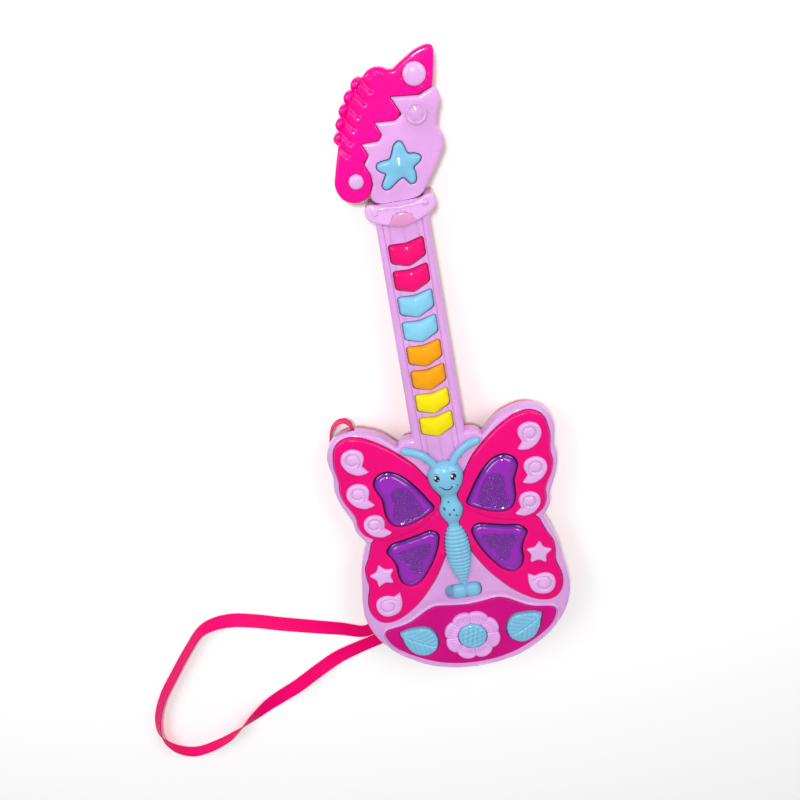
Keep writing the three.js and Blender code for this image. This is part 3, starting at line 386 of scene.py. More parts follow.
def relief(outers, holes, height, base, rings=(), hole_rings=(), spacing=2.0, extra=(), spots=(), flip=False,
           region=None):
    """A closed solid over a plan: its top is height(points) or one level, and base is its other, flat face.
    With flip it is upside down. rings and hole_rings are insets that get edges of their own, as the extra
    lines and the spots do. Only places where region(points) is positive are kept."""
    loops = []
    for outer in outers:
        loops += [outer] + [grow(outer, -r) for r in rings]
    for hole in holes:
        loops += [hole] + [grow(hole, r) for r in hole_rings]

    def depth(p):
        inside = -union(outers, p)
        if holes:
            inside = np.minimum(inside, union(holes, p))
        return inside if region is None else np.minimum(inside, region(p))

    verts, edges = [], []
    for loop, closed in [(l, True) for l in loops] + [(l, False) for l in extra]:
        start, count = len(verts), len(loop)
        verts += [tuple(v) for v in loop]
        edges += [(start + i, start + (i + 1) % count) for i in range(count if closed else count - 1)]
    tree = plan_tree([*verts, *spots])
    low, high = np.vstack(outers).min(0), np.vstack(outers).max(0)
    xs = np.arange(low[0], high[0], spacing)
    ys = np.arange(low[1], high[1], spacing * ROW_SHARE)
    lattice = np.array([(x + (j % 2) * spacing / 2, y) for j, y in enumerate(ys) for x in xs])
    lattice = lattice[depth(lattice) > 0]
    free = [tuple(q) for q in lattice[nearest(tree, lattice) > LATTICE_CLEARANCE * spacing]]
    verts += [tuple(s) for s in spots] + free
    made = delaunay_2d_cdt([Vector(v) for v in verts], edges, [], 0, 1e-4)
    plan = np.array([tuple(v) for v in made[0]])
    faces = np.array([f for f in made[2] if len(f) == 3])
    faces = faces[depth(plan[faces].mean(1)) > 0]
    faces = faces[np.abs(doubled_area(plan, faces)) > SLIVER]
    used = np.unique(faces)
    index = -np.ones(len(plan), int)
    index[used] = np.arange(len(used))
    plan, faces = plan[used], index[faces]
    turned = doubled_area(plan, faces) < 0
    faces[turned] = faces[turned][:, ::-1]

    seen = {}
    for a, b, c in faces:
        for edge in ((a, b), (b, c), (c, a)):
            seen[edge] = seen.get(edge, 0) + 1
    rim = [edge for edge in seen if (edge[1], edge[0]) not in seen]
    rim_verts = sorted({v for edge in rim for v in edge})
    low_index = {v: len(plan) + i for i, v in enumerate(rim_verts)}
    top = np.column_stack([plan, height(plan) if callable(height) else np.full(len(plan), float(height))])
    bottom = np.column_stack([plan[rim_verts], np.full(len(rim_verts), float(base))])
    out = [tuple(int(i) for i in f) for f in faces]
    out += [(low_index[a], low_index[b], int(b), int(a)) for a, b in rim]
    position = {v: i for i, v in enumerate(rim_verts)}
    under = delaunay_2d_cdt([Vector(plan[v]) for v in rim_verts], [(position[a], position[b]) for a, b in rim],
                            [], 0, 1e-6)
    source = [orig[0] if orig else None for orig in under[3]]
    flat = np.array([tuple(v) for v in under[0]])
    for face in under[2]:
        if any(source[v] is None for v in face) or depth(flat[list(face)].mean(0)[None])[0] <= 0:
            continue
        corners = [low_index[rim_verts[source[v]]] for v in face]
        a, b, c = flat[list(face)]
        turn = (b[0] - a[0]) * (c[1] - a[1]) - (b[1] - a[1]) * (c[0] - a[0])
        out.append(tuple(corners[::-1] if turn > 0 else corners))
    if flip:
        out = [face[::-1] for face in out]
    return np.vstack([top, bottom]), out


def directions(line, i):
    """Along, across and above a line at its point i."""
    along = line[min(i + 1, len(line) - 1)] - line[max(i - 1, 0)]
    along /= np.linalg.norm(along)
    side = np.cross((0, 0, 1), along)
    size = np.linalg.norm(side)
    side = side / size if size > 1e-6 else np.array((1.0, 0, 0))
    return along, side, np.cross(along, side)


def around(count):
    return [2 * math.pi * k / count for k in range(count)]


def tube_faces(rows, count):
    """Faces between rows of points around a tube, and a cap at each end."""
    faces = []
    for i in range(rows - 1):
        for k in range(count):
            a, b = i * count + k, i * count + (k + 1) % count
            faces.append((a, b, b + count, a + count))
    return faces + [tuple(range(count - 1, -1, -1)), tuple(range((rows - 1) * count, rows * count))]


def sweep(line, radii, count, flat=1.0):
    """A tube along a line with a radius at every point; flat squeezes it in Z."""
    line = np.array(line, float)
    verts = []
    for i, (p, r) in enumerate(zip(line, radii)):
        _, side, up = directions(line, i)
        verts += [p + side * r * math.cos(a) + up * r * flat * math.sin(a) for a in around(count)]
    return np.array(verts), tube_faces(len(line), count)


def capped(line, radius):
    """A line and radii that end in a rounded tip."""
    line = np.array(line, float)
    tangent = line[-1] - line[-2]
    tangent /= np.linalg.norm(tangent)
    angles = np.linspace(0.2, math.pi / 2 - 0.05, max(3, int(radius / 0.5)))
    tip = [line[-1] + tangent * radius * math.sin(a) for a in angles]
    return np.vstack([line, tip]), [radius] * len(line) + [radius * math.cos(a) for a in angles]


def lathe(profile, x, y, z, count):
    """A turned solid from (radius, height) pairs."""
    verts = [(r * math.cos(a) + x, r * math.sin(a) + y, h + z) for r, h in profile for a in around(count)]
    return np.array(verts), tube_faces(len(profile), count)


def flipped(part):
    """The same part on the other side of the middle plane."""
    verts, faces = part
    return verts * (-1, 1, 1), [face[::-1] for face in faces]


def piece(name, parts, look, replaces=None, body="root", sharp=40):
    """Makes one object of some parts, smooth apart from its sharp edges, in place of a node of the frame."""
    verts, faces = [], []
    for part_verts, part_faces in parts:
        start = len(verts)
        verts += [tuple(v * MM for v in p) for p in part_verts]
        faces += [tuple(int(i) + start for i in f) for f in part_faces]
    mesh = bpy.data.meshes.new(name)
    mesh.from_pydata(verts, [], faces)
    mesh.validate()
    mesh.shade_smooth()
    mesh.set_sharp_from_angle(angle=math.radians(sharp))
    mesh.materials.append(MAT[look])
    made = bpy.data.objects.new(name, mesh)
    bpy.context.scene.collection.objects.link(made)
    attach(made, body)
    SLOTS.get(look, look)
    if replaces:
        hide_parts(replaces)
    return made


# ---- Materials ----
def linear(rgb):
    return tuple(((c / 255 + 0.055) / 1.055) ** 2.4 if c > 10 else c / 255 / 12.92 for c in rgb) + (1.0,)


def shade(rgb, amount):
    return tuple(min(1.0, c * amount) for c in rgb[:3]) + (1.0,)


def connect(tree, made, inputs):
    """Links the sockets among a node's inputs and sets the plain values."""
    for key, value in dict(inputs).items():
        if isinstance(value, bpy.types.NodeSocket):
            tree.links.new(value, made.inputs[key])
        else:
            made.inputs[key].default_value = value


def node(tree, kind, inputs=(), **settings):
    made = tree.nodes.new(kind)
    for key, value in settings.items():
        setattr(made, key, value)
    connect(tree, made, inputs)
    return made


def mix(tree, factor, a, b):
    """Colour a, which turns into b as the factor grows; the numbers are the colour sockets' places."""
    return node(tree, "ShaderNodeMix", {0: factor, 6: a, 7: b}, data_type="RGBA").outputs[2]


def ramp(tree, factor, low, high, dark=0.0, bright=1.0):
    return node(tree, "ShaderNodeMapRange", {"Value": factor, "From Min": low, "From Max": high,
                                             "To Min": dark, "To Max": bright}).outputs["Result"]


def noise(tree, place, scale, detail, rough=0.5):
    return node(tree, "ShaderNodeTexNoise", {"Vector": place, "Scale": scale, "Detail": detail,
                                             "Roughness": rough}).outputs["Fac"]


def stretched(tree, place, scale, turn=0.0):
    return node(tree, "ShaderNodeMapping", {"Vector": place, "Scale": scale,
                                            "Rotation": (0, 0, turn)}).outputs["Vector"]


def combine(tree, operation, a, b):
    return node(tree, "ShaderNodeMath", {0: a, 1: b}, operation=operation).outputs[0]


def bump(tree, height, strength, distance, **under):
    return node(tree, "ShaderNodeBump", {"Height": height, "Strength": strength, "Distance": distance,
                                         **under}).outputs["Normal"]


def object_place(tree):
    return node(tree, "ShaderNodeTexCoord").outputs["Object"]


def new_material(name):
    """A material, its node tree and its shader."""
    material = bpy.data.materials.new(name)
    material.use_nodes = True
    return material, material.node_tree, material.node_tree.nodes["Principled BSDF"]


DAYLIGHT = 0.84  # the colours are given as they look in the studio's light


def plastic(name, rgb, rough=0.22, rub_and_highlight=0.5, skin=0.1, coat=0.5, specular=0.15, grain=1.0):
    """Moulded plastic: cloudy colour, polished with faint scratches, a fine skin, edges paler as rubbed wear and
    painted highlight, and painted shade in creases.
    """
    material, tree, shader = new_material(name)
    colour = shade(linear(rgb), DAYLIGHT)
    pale = tuple(c + (1 - c) * 0.35 for c in colour[:3]) + (1.0,)
    place = object_place(tree)
    cloud = noise(tree, place, 38, 4, 0.55)
    speck = noise(tree, place, 900, 2, 0.6)
    scratch = noise(tree, stretched(tree, place, (60, 900, 300), 0.5), 1, 3, 0.7)
    edge = node(tree, "ShaderNodeNewGeometry").outputs["Pointiness"]
    base = mix(tree, ramp(tree, cloud, 0.35, 0.65), shade(colour, 0.94), shade(colour, 1.04))
    base = mix(tree, ramp(tree, speck, 0.55, 0.8, 0, 0.10), base, shade(colour, 0.82))
    # Convex edges turn pale: partly rubbed wear, partly a painted highlight.
    base = mix(tree, ramp(tree, edge, 0.515, 0.6, 0, 0.22 * rub_and_highlight), base, pale)
    # Hollows and creases turn dark: painted shade.
    base = mix(tree, ramp(tree, edge, 0.492, 0.42, 0, 0.45), base, shade(colour, 0.45))
    polish = ramp(tree, cloud, 0.3, 0.7, rough * 0.85, rough * 1.15)
    marks = ramp(tree, scratch, 0.56, 0.75, 0, 0.12)
    peel = bump(tree, noise(tree, place, 220, 2), 0.10 * grain, 0.0006)
    connect(tree, shader, {
        "Base Color": base, "Roughness": combine(tree, "ADD", polish, marks),
        "Normal": bump(tree, speck, 0.06 * grain, 0.0002, Normal=peel),
        "Subsurface Weight": skin, "Subsurface Radius": (1.0, 0.6, 0.6), "Subsurface Scale": 0.002,
        "Specular IOR Level": specular, "Coat Weight": coat, "Coat Roughness": 0.06})
    return material


def tinted_lens(name, rgb, deep):
    """Tinted clear plastic under a polished face, darkened towards a deep colour by painted shade where the depth
    attribute says so.
    """
    material = plastic(name, rgb, rough=0.12, rub_and_highlight=0.15, skin=0.25, coat=0.8, specular=0.6, grain=0.5)
    tree = material.node_tree
    cloud = noise(tree, object_place(tree), 60, 3)
    painted_shade = node(tree, "ShaderNodeAttribute", attribute_name="depth").outputs["Fac"]
    clear = shade(linear(rgb), DAYLIGHT)
    body = mix(tree, ramp(tree, cloud, 0.35, 0.65), clear, shade(clear, 1.12))
    connect(tree, tree.nodes["Principled BSDF"], {
        "Base Color": mix(tree, painted_shade, body, shade(linear(deep), DAYLIGHT)), "Transmission Weight": 0.12})
    return material


def ribbon_material(name, rgb):
    """Woven satin: fine threads along and across, cloudy colour and a soft sheen."""
    material, tree, shader = new_material(name)
    colour = linear(rgb)
    uv = node(tree, "ShaderNodeUVMap", uv_map="ribbon").outputs["UV"]
    threads = [node(tree, "ShaderNodeTexWave", {"Vector": uv, "Scale": scale, "Distortion": wander,
                                                "Detail": 1}, bands_direction=direction).outputs["Fac"]
               for direction, scale, wander in (("Y", 6.5, 0.4), ("X", 4.2, 0.3))]
    weave = combine(tree, "MULTIPLY", *threads)
    cloud = noise(tree, uv, 0.35, 4)
    base = mix(tree, ramp(tree, weave, 0, 0.8), shade(colour, 0.72), shade(colour, 1.06))
    connect(tree, shader, {
        "Base Color": mix(tree, ramp(tree, cloud, 0.35, 0.7, 0, 0.35), base, shade(colour, 0.8)),
        "Roughness": ramp(tree, cloud, 0.3, 0.7, 0.36, 0.5), "Normal": bump(tree, weave, 0.35, 0.00012),
        "Sheen Weight": 0.03, "Sheen Roughness": 0.35, "Sheen Tint": (1.0, 0.5, 0.7, 1.0),
        "Specular IOR Level": 0.06})
    return material


def metal(name, rgb, rough=0.28):
    """Plated steel, faintly brushed and stained."""
    material, tree, shader = new_material(name)
    colour = linear(rgb)
    place = object_place(tree)
    brush = noise(tree, stretched(tree, place, (80, 2600, 2600)), 1, 3)
    stain = noise(tree, place, 220, 4)
    connect(tree, shader, {
        "Base Color": mix(tree, ramp(tree, stain, 0.4, 0.7), colour, shade(colour, 0.7)),
        "Roughness": ramp(tree, brush, 0.3, 0.7, rough * 0.7, rough * 1.5),
        "Normal": bump(tree, brush, 0.12, 0.0001), "Metallic": 1.0})
    return material


def board_material(name):
    """A green circuit board with tracks and tinned dots."""
    mask, track, tin = (20, 92, 48), (52, 138, 74), (196, 180, 130)
    material = plastic(name, mask, rough=0.35, rub_and_highlight=0.2, skin=0.0, coat=0.4)
    tree = material.node_tree
    place = object_place(tree)
    tracks = node(tree, "ShaderNodeTexVoronoi", {"Vector": place, "Scale": 260}, feature="DISTANCE_TO_EDGE",
                  distance="MANHATTAN").outputs["Distance"]
    dots = node(tree, "ShaderNodeTexVoronoi", {"Vector": place, "Scale": 420}).outputs["Distance"]
    base = mix(tree, ramp(tree, tracks, 0.05, 0.09, 1, 0), linear(mask), linear(track))
    connect(tree, tree.nodes["Principled BSDF"], {
        "Base Color": mix(tree, ramp(tree, dots, 0.12, 0.16, 1, 0), base, linear(tin))})
    return material


FACE_PLATE = {"skin": 0.0, "coat": 0.35, "specular": 0.08}
MAT = {
    "lilac": plastic("lilac_plastic", (224, 164, 228), rough=0.26, skin=0.12),
    "trim": plastic("lilac_trim_plastic", (232, 178, 236), rough=0.26, skin=0.12),
    "petal": plastic("petal_plastic", (234, 172, 240), rough=0.28, skin=0.12),
    "pink": plastic("pink_plastic", (210, 0, 84), rough=0.2, skin=0.0, rub_and_highlight=0.35),
    "panel": plastic("pink_panel_plastic", (240, 0, 122), 0.2, 0.15, **FACE_PLATE),
    "control": plastic("control_panel_plastic", (212, 0, 132), 0.22, 0.15, **FACE_PLATE),
    "crest": plastic("crest_plastic", (255, 0, 150), 0.2, 0.05, **FACE_PLATE),
    "blue": plastic("blue_plastic", (128, 196, 230), rough=0.26, skin=0.08),
    "key_pink": plastic("key_pink_plastic", (246, 0, 116), 0.16, 0.1, skin=0.0, coat=0.6, specular=0.08),
    "key_blue": plastic("key_blue_plastic", (136, 208, 240), rough=0.2, skin=0.05, rub_and_highlight=0.3),
    "key_orange": plastic("key_orange_plastic", (252, 166, 0), rough=0.2, skin=0.03, rub_and_highlight=0.3),
    "key_yellow": plastic("key_yellow_plastic", (252, 230, 0), rough=0.2, skin=0.03, rub_and_highlight=0.3),
    "dome": plastic("dome_plastic", (224, 148, 200), rough=0.3, skin=0.1),
    # The windows' second colour is the colour of their painted shade.
    "lens": tinted_lens("purple_lens_plastic", (160, 22, 192), (34, 0, 112)),
    "eye": plastic("eye_paint", (22, 26, 34), rough=0.12, rub_and_highlight=0, skin=0, coat=1.0),
    "glint": plastic("white_paint", (238, 240, 242), rough=0.3, rub_and_highlight=0, skin=0),
    "spot": plastic("spot_paint", (62, 104, 140), rough=0.35, rub_and_highlight=0, skin=0),
    "ribbon": ribbon_material("satin_ribbon", (250, 0, 112)),
    "steel": metal("zinc_steel", (176, 178, 182)),
    "contact": metal("contact_metal", (190, 190, 184), rough=0.34),
    "cell": plastic("cell_sleeve", (40, 84, 140), rough=0.3, rub_and_highlight=0.4, skin=0),
    "black": plastic("speaker_black", (34, 34, 36), rough=0.6, rub_and_highlight=0.3, skin=0, coat=0.0, grain=2.5),
    "board": board_material("circuit_board"),
    "rubber": plastic("silicone_rubber", (206, 206, 200), rough=0.62, rub_and_highlight=0.2, skin=0.3, coat=0.0, grain=2),
    "led": plastic("clear_epoxy", (236, 236, 226), rough=0.1, rub_and_highlight=0.1, skin=0.4, coat=0.6),
}
# The frame's slot for each look. A look that isn't listed is its own slot.
SLOTS = {"lilac": "lilac_shell", "pink": "pink_shell", "lens": "purple_lens", "ribbon": "satin_ribbon",
         **dict.fromkeys(("trim", "petal", "dome"), "lilac_trim"),
         **dict.fromkeys(("panel", "control", "crest"), "pink_panel"),
         **dict.fromkeys(("blue", "eye", "glint", "spot"), "blue_plastic")}


# ---- The strap ----
def strap():
    """The ribbon along its whole route, with a slightly thicker selvedge at both edges."""
    line = spline([knot[:3] for knot in STRAP_ROUTE], STRAP_STEP, power=0.5)
    turns = []
    for a, b in zip(STRAP_ROUTE[:-1], STRAP_ROUTE[1:]):
        pieces = max(1, round(float(np.linalg.norm(np.array(b[:3]) - a[:3])) / STRAP_STEP))
        turns += [a[3] + (b[3] - a[3]) * k / pieces for k in range(pieces)]
    turns.append(STRAP_ROUTE[-1][3])
    length = run_along(line)
    across = np.array([-1, -0.96, -0.9, -0.6, -0.2, 0.2, 0.6, 0.9, 0.96, 1]) * STRAP_WIDTH / 2
    thick = np.array([0.35, 0.9, 1.0, 0.62, 0.6, 0.6, 0.62, 1.0, 0.9, 0.35]) * STRAP_THICK / 2
    section = [*zip(across, thick), *zip(across[::-1], -thick[::-1])]
    verts, uvs = [], []
    for i, (p, turn) in enumerate(zip(line, turns)):
        tangent, side, up = directions(line, i)
        width = side * math.cos(math.radians(turn)) + up * math.sin(math.radians(turn))
        face = np.cross(tangent, width)
        verts += [p + width * a + face * t for a, t in section]
        uvs += [(length[i], a) for a, _ in section]
    made = piece("strap", [(np.array(verts), tube_faces(len(line), len(section)))], "ribbon", "strap_ribbon",
                 sharp=60)
    layer = made.data.uv_layers.new(name="ribbon")
    for corner in made.data.loops:
        layer.data[corner.index].uv = uvs[corner.vertex_index]


strap()


# ---- Outlines of the pieces ----
STEP = 1.3
body_outline = both_halves(np.vstack([
    spline(BODY_TAIL, STEP), spline(BODY_WING, STEP)[1:], spline(BODY_SHOULDER, STEP)[1:], [(0, -25.1)]]))
upper_wing = both_halves(np.vstack([
    spline(UPPER_WING[:7], STEP), spline(UPPER_WING[6:20], STEP)[1:], spline(UPPER_WING[19:], STEP)[1:]]))
lower_wing = both_halves(np.vstack([spline(LOWER_WING[:18], STEP), LOWER_WING[18:]]))
control_panel = both_halves(spline(CONTROL_PANEL, STEP))
lens_halves = {level: ccw(spline(knots, 0.9, True, 0.5))
               for level, knots in (("upper", UPPER_LENS), ("lower", LOWER_LENS))}
neck_outline = densify(NECK, 3)
head_outline = fillet(HEAD_OUTLINE, 0.8, 3, 1.5)
collar_outline = ccw(spline(COLLAR, 1.2, True, 0.5))
plateau_outline = fillet(PLATEAU, 4, 5, 4)
leaf_right = ccw(np.vstack([[LEAF[0]], spline(LEAF[1:], 0.8)]))
flower_disc = circle(0, FLOWER_Y, DISC, 64)
head_star = ccw(spline(STAR_BUTTON, 0.7, True, 0.5))


def key_outline(y, clear=0.0):
    top = y + KEY_ARM
    lean = KEY_SKEW * KEY_HALF
    corners = [(0, y - KEY_DEPTH), (KEY_HALF, top - KEY_SIDE_DEPTH + lean), (KEY_HALF, top + lean), (0, y),
               (-KEY_HALF, top - lean), (-KEY_HALF, top - KEY_SIDE_DEPTH - lean)]
    return grow(fillet(corners, 2, 5, 1.0), clear)


def switch_outline(clear, stretch):
    reach, rise = SWITCH_HALF + clear, SWITCH_TALL / 2 + clear
    return fillet(box2(SWITCH_X - reach - stretch, SWITCH_Y - rise, SWITCH_X + reach, SWITCH_Y + rise),
                  rise - 0.6, 9, 1.2)


key_ys = [KEY_FIRST_Y - i * KEY_PITCH for i in range(KEY_COUNT)]
strap_slot = box2(-59.7, -30, -55.2, -5)


# ---- Shells ----
def front_shell():
    """The lilac face with its recesses, the wall under it and the strip between the keys."""
    outers = [body_outline, neck_outline]
    recesses = [grow(o, GAP) for o in (upper_wing, lower_wing, control_panel)]
    channel = box2(-CHANNEL_HALF, -44, CHANNEL_HALF, 126)
    slot = switch_outline(0.5, SWITCH_TRAVEL + 0.4)
    holes = recesses + [densify(channel, 3), slot]

    long_neck = densify([(-18, -42), (18, -42), (15.9, 150), (-15.9, 150)], 3)

    def height(p):
        rim = -union([body_outline, long_neck], p)
        z = FACE_Z - drop(rim, 3)
        panel = sdf(recesses[2], p)
        z = z + (RIDGE_Z - FACE_Z) * np.exp(-((panel - 1.7) / 1.15) ** 4) * np.clip(rim / 1.5, 0, 1)
        return z - drop(union(recesses[:2], p), 0.6) - drop(sdf(channel, p), 1.3) - drop(sdf(slot, p), 0.5)

    face = relief(outers, holes, height, DECK_UNDER_Z, rings=ring_depths(3, 5), hole_rings=[0.2, 0.6, 1.3],
                  spacing=2.2, extra=[grow(recesses[2], r) for r in (0.7, 1.7, 2.6, 3.4)])
    inner = [grow(body_outline, -BACK_INSET - 1.6), grow(neck_outline, -2.2)]
    wall = relief(outers, [], DECK_UNDER_Z, PARTING_Z + GAP / 2, spacing=50,
                  extra=[line_around(o) for o in inner],
                  region=lambda p: np.minimum(union(inner, p), sdf(strap_slot, p)))
    keys = [key_outline(y, BUTTON_GAP) for y in key_ys]
    strings = (-STRING_SPACING, 0, STRING_SPACING)

    def strip_height(p):
        z = np.full(len(p), float(STRIP_Z))
        for x in strings:
            z = z + groove(np.abs(p[:, 0] - x), 0.7, -0.55)
        return z - drop(union(keys, p), 0.3)

    strip = relief([densify(channel, 3)], keys, strip_height, DECK_UNDER_Z, hole_rings=[0.3], spacing=3,
                   extra=[straight((x + offset, -43.8), (x + offset, 125.8), 4)
                          for x in strings for offset in (-0.7, -0.35, 0, 0.35, 0.7)])
    piece("front_half", [face, wall, strip], "lilac", replaces="front_shell")


def crest_parts():
    """Outlines of the crest's pieces: its lobe with the back edge, its horn and its ribs."""
    back = [(0, 206), (-9, 203.5), (-15, 197), (-20, 190), (-24, 182), (-28, 174), (-30.2, 166)]
    lobe = spline(LOBE[::-1], 1.0)
    horn = np.vstack([spline(HORN[:2], 1.0)[:-1], spline(HORN[1:], 1.0)])
    main = ccw(np.vstack([horn, back[:-1], lobe, [(-8, 160), (4, 174), (14, 186)]]))
    return main, [circle(x, y, r, 40) for x, y, r in RIBS]


def back_shell():
    """The pink back: each outline of the stack is a step with a rounded edge."""
    main, ribs = crest_parts()
    z1 = PARTING_Z - GAP / 2
    # Each outline with its level, and how far in and up its edge is rounded.
    stack = [(grow(body_outline, -BACK_INSET), UNDERSIDE_Z, 6, 11), (plateau_outline, 0, 1.2, 3.2),
             (neck_outline, NECK_BACK_Z, 4, 4), (collar_outline, HEAD_BACK_Z - 1, 2, 2),
             (head_outline, HEAD_BACK_Z, 1.5, 1.5),
             (main, HEAD_BACK_Z, 1.5, 1.5), *[(rib, HEAD_BACK_Z + 1, 1.5, 1.5) for rib in ribs]]
    outers = [row[0] for row in stack]
    door = fillet(box2(-DOOR_HALF, DOOR_BOTTOM, DOOR_HALF, DOOR_TOP), 0.6, 2, 6)
    holes = [door, box2(-46.4, -196, -37.6, -184), strap_slot]
    for row in range(-3, 4):
        reach = math.sqrt((SPEAKER_RADIUS - 2) ** 2 - (row * 5) ** 2)
        y = SPEAKER_Y + row * 5
        holes.append(fillet(box2(-reach, y - 1.1, reach, y + 1.1), 1.1, 4, 4))
    wells = [circle(x, y, 3.6, 24) for x, y in CASE_SCREWS]

    def height(p):
        z = np.full(len(p), z1 - 0.1)
        for outline, level, inset, rise in stack:
            depth = -sdf(outline, p)
            z = np.where(depth > -1e-3, np.minimum(z, level + drop(np.maximum(depth, 0), inset, rise)), z)
        z = z + drop(np.maximum(union(holes, p), 0), 0.5)
        well = union(wells, p)
        return np.where(well < 0, 9.0, z + drop(np.maximum(well, 0), 0.5))

    extra = []
    for i, (outline, _, inset, _) in enumerate(stack):
        extra += inset_lines(outline, ring_depths(inset, 5 if i < 5 else 3))
    for well in wells:
        extra += inset_lines(well, (0.05, 0, -0.5))
    parts = [relief(outers, holes, height, z1, hole_rings=[0.2, 0.5], spacing=3, extra=extra, flip=True)]
    piece("back_half", parts, "pink", replaces="back_shell")


# ---- Face ----
TAIL_TOP_Y, TAIL_RING = -94, 3.0  # where the tail starts, and the length of one of its rings


def figure_half_width(y):
    """Half width of the figure's body, from its crown to its tail."""
    knots = np.array(FIGURE[1:])[::-1]
    top = np.interp(y, knots[:, 1], knots[:, 0])
    along = np.clip((y - TAIL_TOP_Y) / -46, 0, 1)
    swell = 3.7 + 5.0 * np.sin(math.pi * along ** 0.8) ** 0.7
    taper = np.where(along > 0.55, 1 - ((along - 0.55) / 0.45) ** 2 * 0.45, 1)
    return np.where(y > TAIL_TOP_Y, top, swell * taper)


def wing_panel():
    """The wing plates, with openings for the windows and a saddle for the figure."""
    levels = np.concatenate([np.arange(-139.8, -94, 1.5), np.arange(-93.5, -44, 1.2)])
    saddle = both_halves([(0, -141.2), (2.4, -140.9)] + [(figure_half_width(y) + 0.25, y) for y in levels]
                         + [(3.4, -43.1), (0, -42.7)])
    openings = [grow(lens_halves[k], GAP) for k in lens_halves]
    openings = openings + [mirror(o) for o in openings]
    outers = [upper_wing, lower_wing]
    holes = openings + [densify(saddle, 1.5)]

    def height(p):
        upper, lower = -sdf(upper_wing, p), -sdf(lower_wing, p)
        z_upper = UPPER_WING_Z - 0.35 - drop(upper, 1.9) + crown(upper, 9, 0.35)
        z_lower = LOWER_WING_Z - 0.3 - drop(lower, 1.6) + crown(lower, 9, 0.3)
        z = np.where(upper > -1e-6, np.maximum(z_upper, np.where(lower > 0, z_lower, 0)), z_lower)
        return z - drop(np.maximum(union(openings, p), 0), 0.7) - drop(np.maximum(sdf(holes[-1], p), 0), 0.4)

    part = relief(outers, holes, height, DECK_Z + GAP, rings=ring_depths(1.9, 5), hole_rings=[0.15, 0.7],
                  spacing=2.2)
    piece("wing_plates", [part], "panel", replaces="wing_panel")


LENS_FIELDS = {"upper": [(18.5, -80), (21.5, -68), (27, -58.5), (35, -57.5), (38.5, -62), (38, -72), (40, -80),
                         (36, -84.5), (27, -83.5)],
               "lower": [(18, -104), (24, -104), (35, -106), (41.5, -108.5), (40.5, -113), (36, -119),
                         (33.5, -126), (28, -126.5), (25, -118), (19.5, -112)]}
PIT_PITCH, PIT_RADIUS, PIT_DEPTH = 1.3, 0.52, 0.5


def lens(level, side):
    """A window: a bevelled rim, a polished face and a field of small round pits."""
    outline = grow(lens_halves[level], -0.15)
    top = (UPPER_WING_Z if level == "upper" else LOWER_WING_Z) + LENS_RISE
    field = ccw(spline(LENS_FIELDS[level], 0.8, True, 0.5))
    low, high = field.min(0), field.max(0)
    xs, ys = (np.arange(low[axis], high[axis], PIT_PITCH) for axis in (0, 1))
    grid = np.array([(x, y) for x in xs for y in ys])
    pits = grid[sdf(field, grid) < -0.5]
    compass = np.array([(math.cos(a), math.sin(a)) for a in np.arange(8) * math.pi / 4])
    spots = np.vstack([pits, *[pits + way * 0.42 for way in compass],
                       *[pits + way * 0.2 for way in compass[::2]]])
    tree = plan_tree(pits)

    def height(p):
        depth = -sdf(outline, p)
        z = top - drop(depth, 1.7, 1.5) + crown(depth, 10, 0.45) - 0.45
        z = z + groove(np.abs(depth - 3.0), 0.8, 0.5)
        return z - PIT_DEPTH * (1 - np.clip(nearest(tree, p) / PIT_RADIUS, 0, 1) ** 2)

    part = relief([outline], [], height, DECK_Z + GAP, rings=ring_depths(1.7, 4) + [2.2, 2.6, 3.0, 3.4, 3.8],
                  spacing=1.2, spots=spots)
    part = part if side == "right" else flipped(part)
    made = piece(f"window_{level}_{side}", [part], "lens", f"wing_lens_{level}_{side}", sharp=50)
    hand = 1 if side == "right" else -1
    places = np.array([(v.co.x / MM * hand, v.co.y / MM) for v in made.data.vertices])
    away = -sdf(outline, places)
    # The depth attribute is painted shade: a painted shadow along the rim, painted shade in each pit, and a
    # fainter painted shade over the whole pit field.
    pit_shade = np.maximum(0.0, 2.3 - 4.5 * nearest(tree, places))
    pit_shade = np.maximum(pit_shade, 0.24 * np.clip(0.8 - sdf(field, places), 0, 1))
    shadow = 0.8 * np.clip(1 - (away - 0.4) / 1.2, 0, 1) + 0.35 * np.clip(1 - (away - 1.8) / 1.0, 0, 1)
    layer = made.data.attributes.new("depth", "FLOAT", "POINT")
    layer.data.foreach_set("value", np.clip(np.maximum(shadow, pit_shade), 0, 1))


def snail_part(x, y, turn, scale, z0, knots=None):
    """A comma-shaped ornament with a curled groove and a raised middle. Its outline can be given in place."""
    shape = SNAIL if knots is None else knots
    outline = ccw(np.vstack([[shape[0]], spline(shape[1:], 0.7)]))
    if knots is None:
        outline = placed(outline, x, y, turn, scale)
    angle = np.linspace(-2.3, 4.2, 46)
    radius = np.interp(angle, [-2.3, 0, 3.2, 4.2], [3.6, 3.9, 4.9, 6.6])
    curl = placed(np.stack([radius * np.cos(angle), radius * np.sin(angle)], axis=1), x, y, turn, scale)
    centre = placed(np.array([(0.3, 0.4)]), x, y, turn, scale)[0]

    def height(p):
        depth = -sdf(outline, p)
        away = np.linalg.norm(p - centre, axis=1)
        z = z0 + 1.8 - 0.3 - drop(depth, 1.3, 1.4) + crown(depth, 4, 0.3)
        z = z + groove(line_distance(curl, p), 1.0, 0.85)
        return z + 0.5 * np.clip(1 - (away / 3.0) ** 2, 0, 1) - 0.1

    return cap_over(outline, height, z0, 1.3, 4, 0.62)


def star_part(x, y, turn, z0):
    outline = fillet(placed(star(9.9, 5.2), x, y, turn), 2.4, 5, 0.7)

    def height(p):
        depth = -sdf(outline, p)
        return z0 + 1.5 - drop(depth, 1.1, 1.3) + crown(depth, 4, 0.3)

    return cap_over(outline, height, z0, 1.1, 4, 0.9)


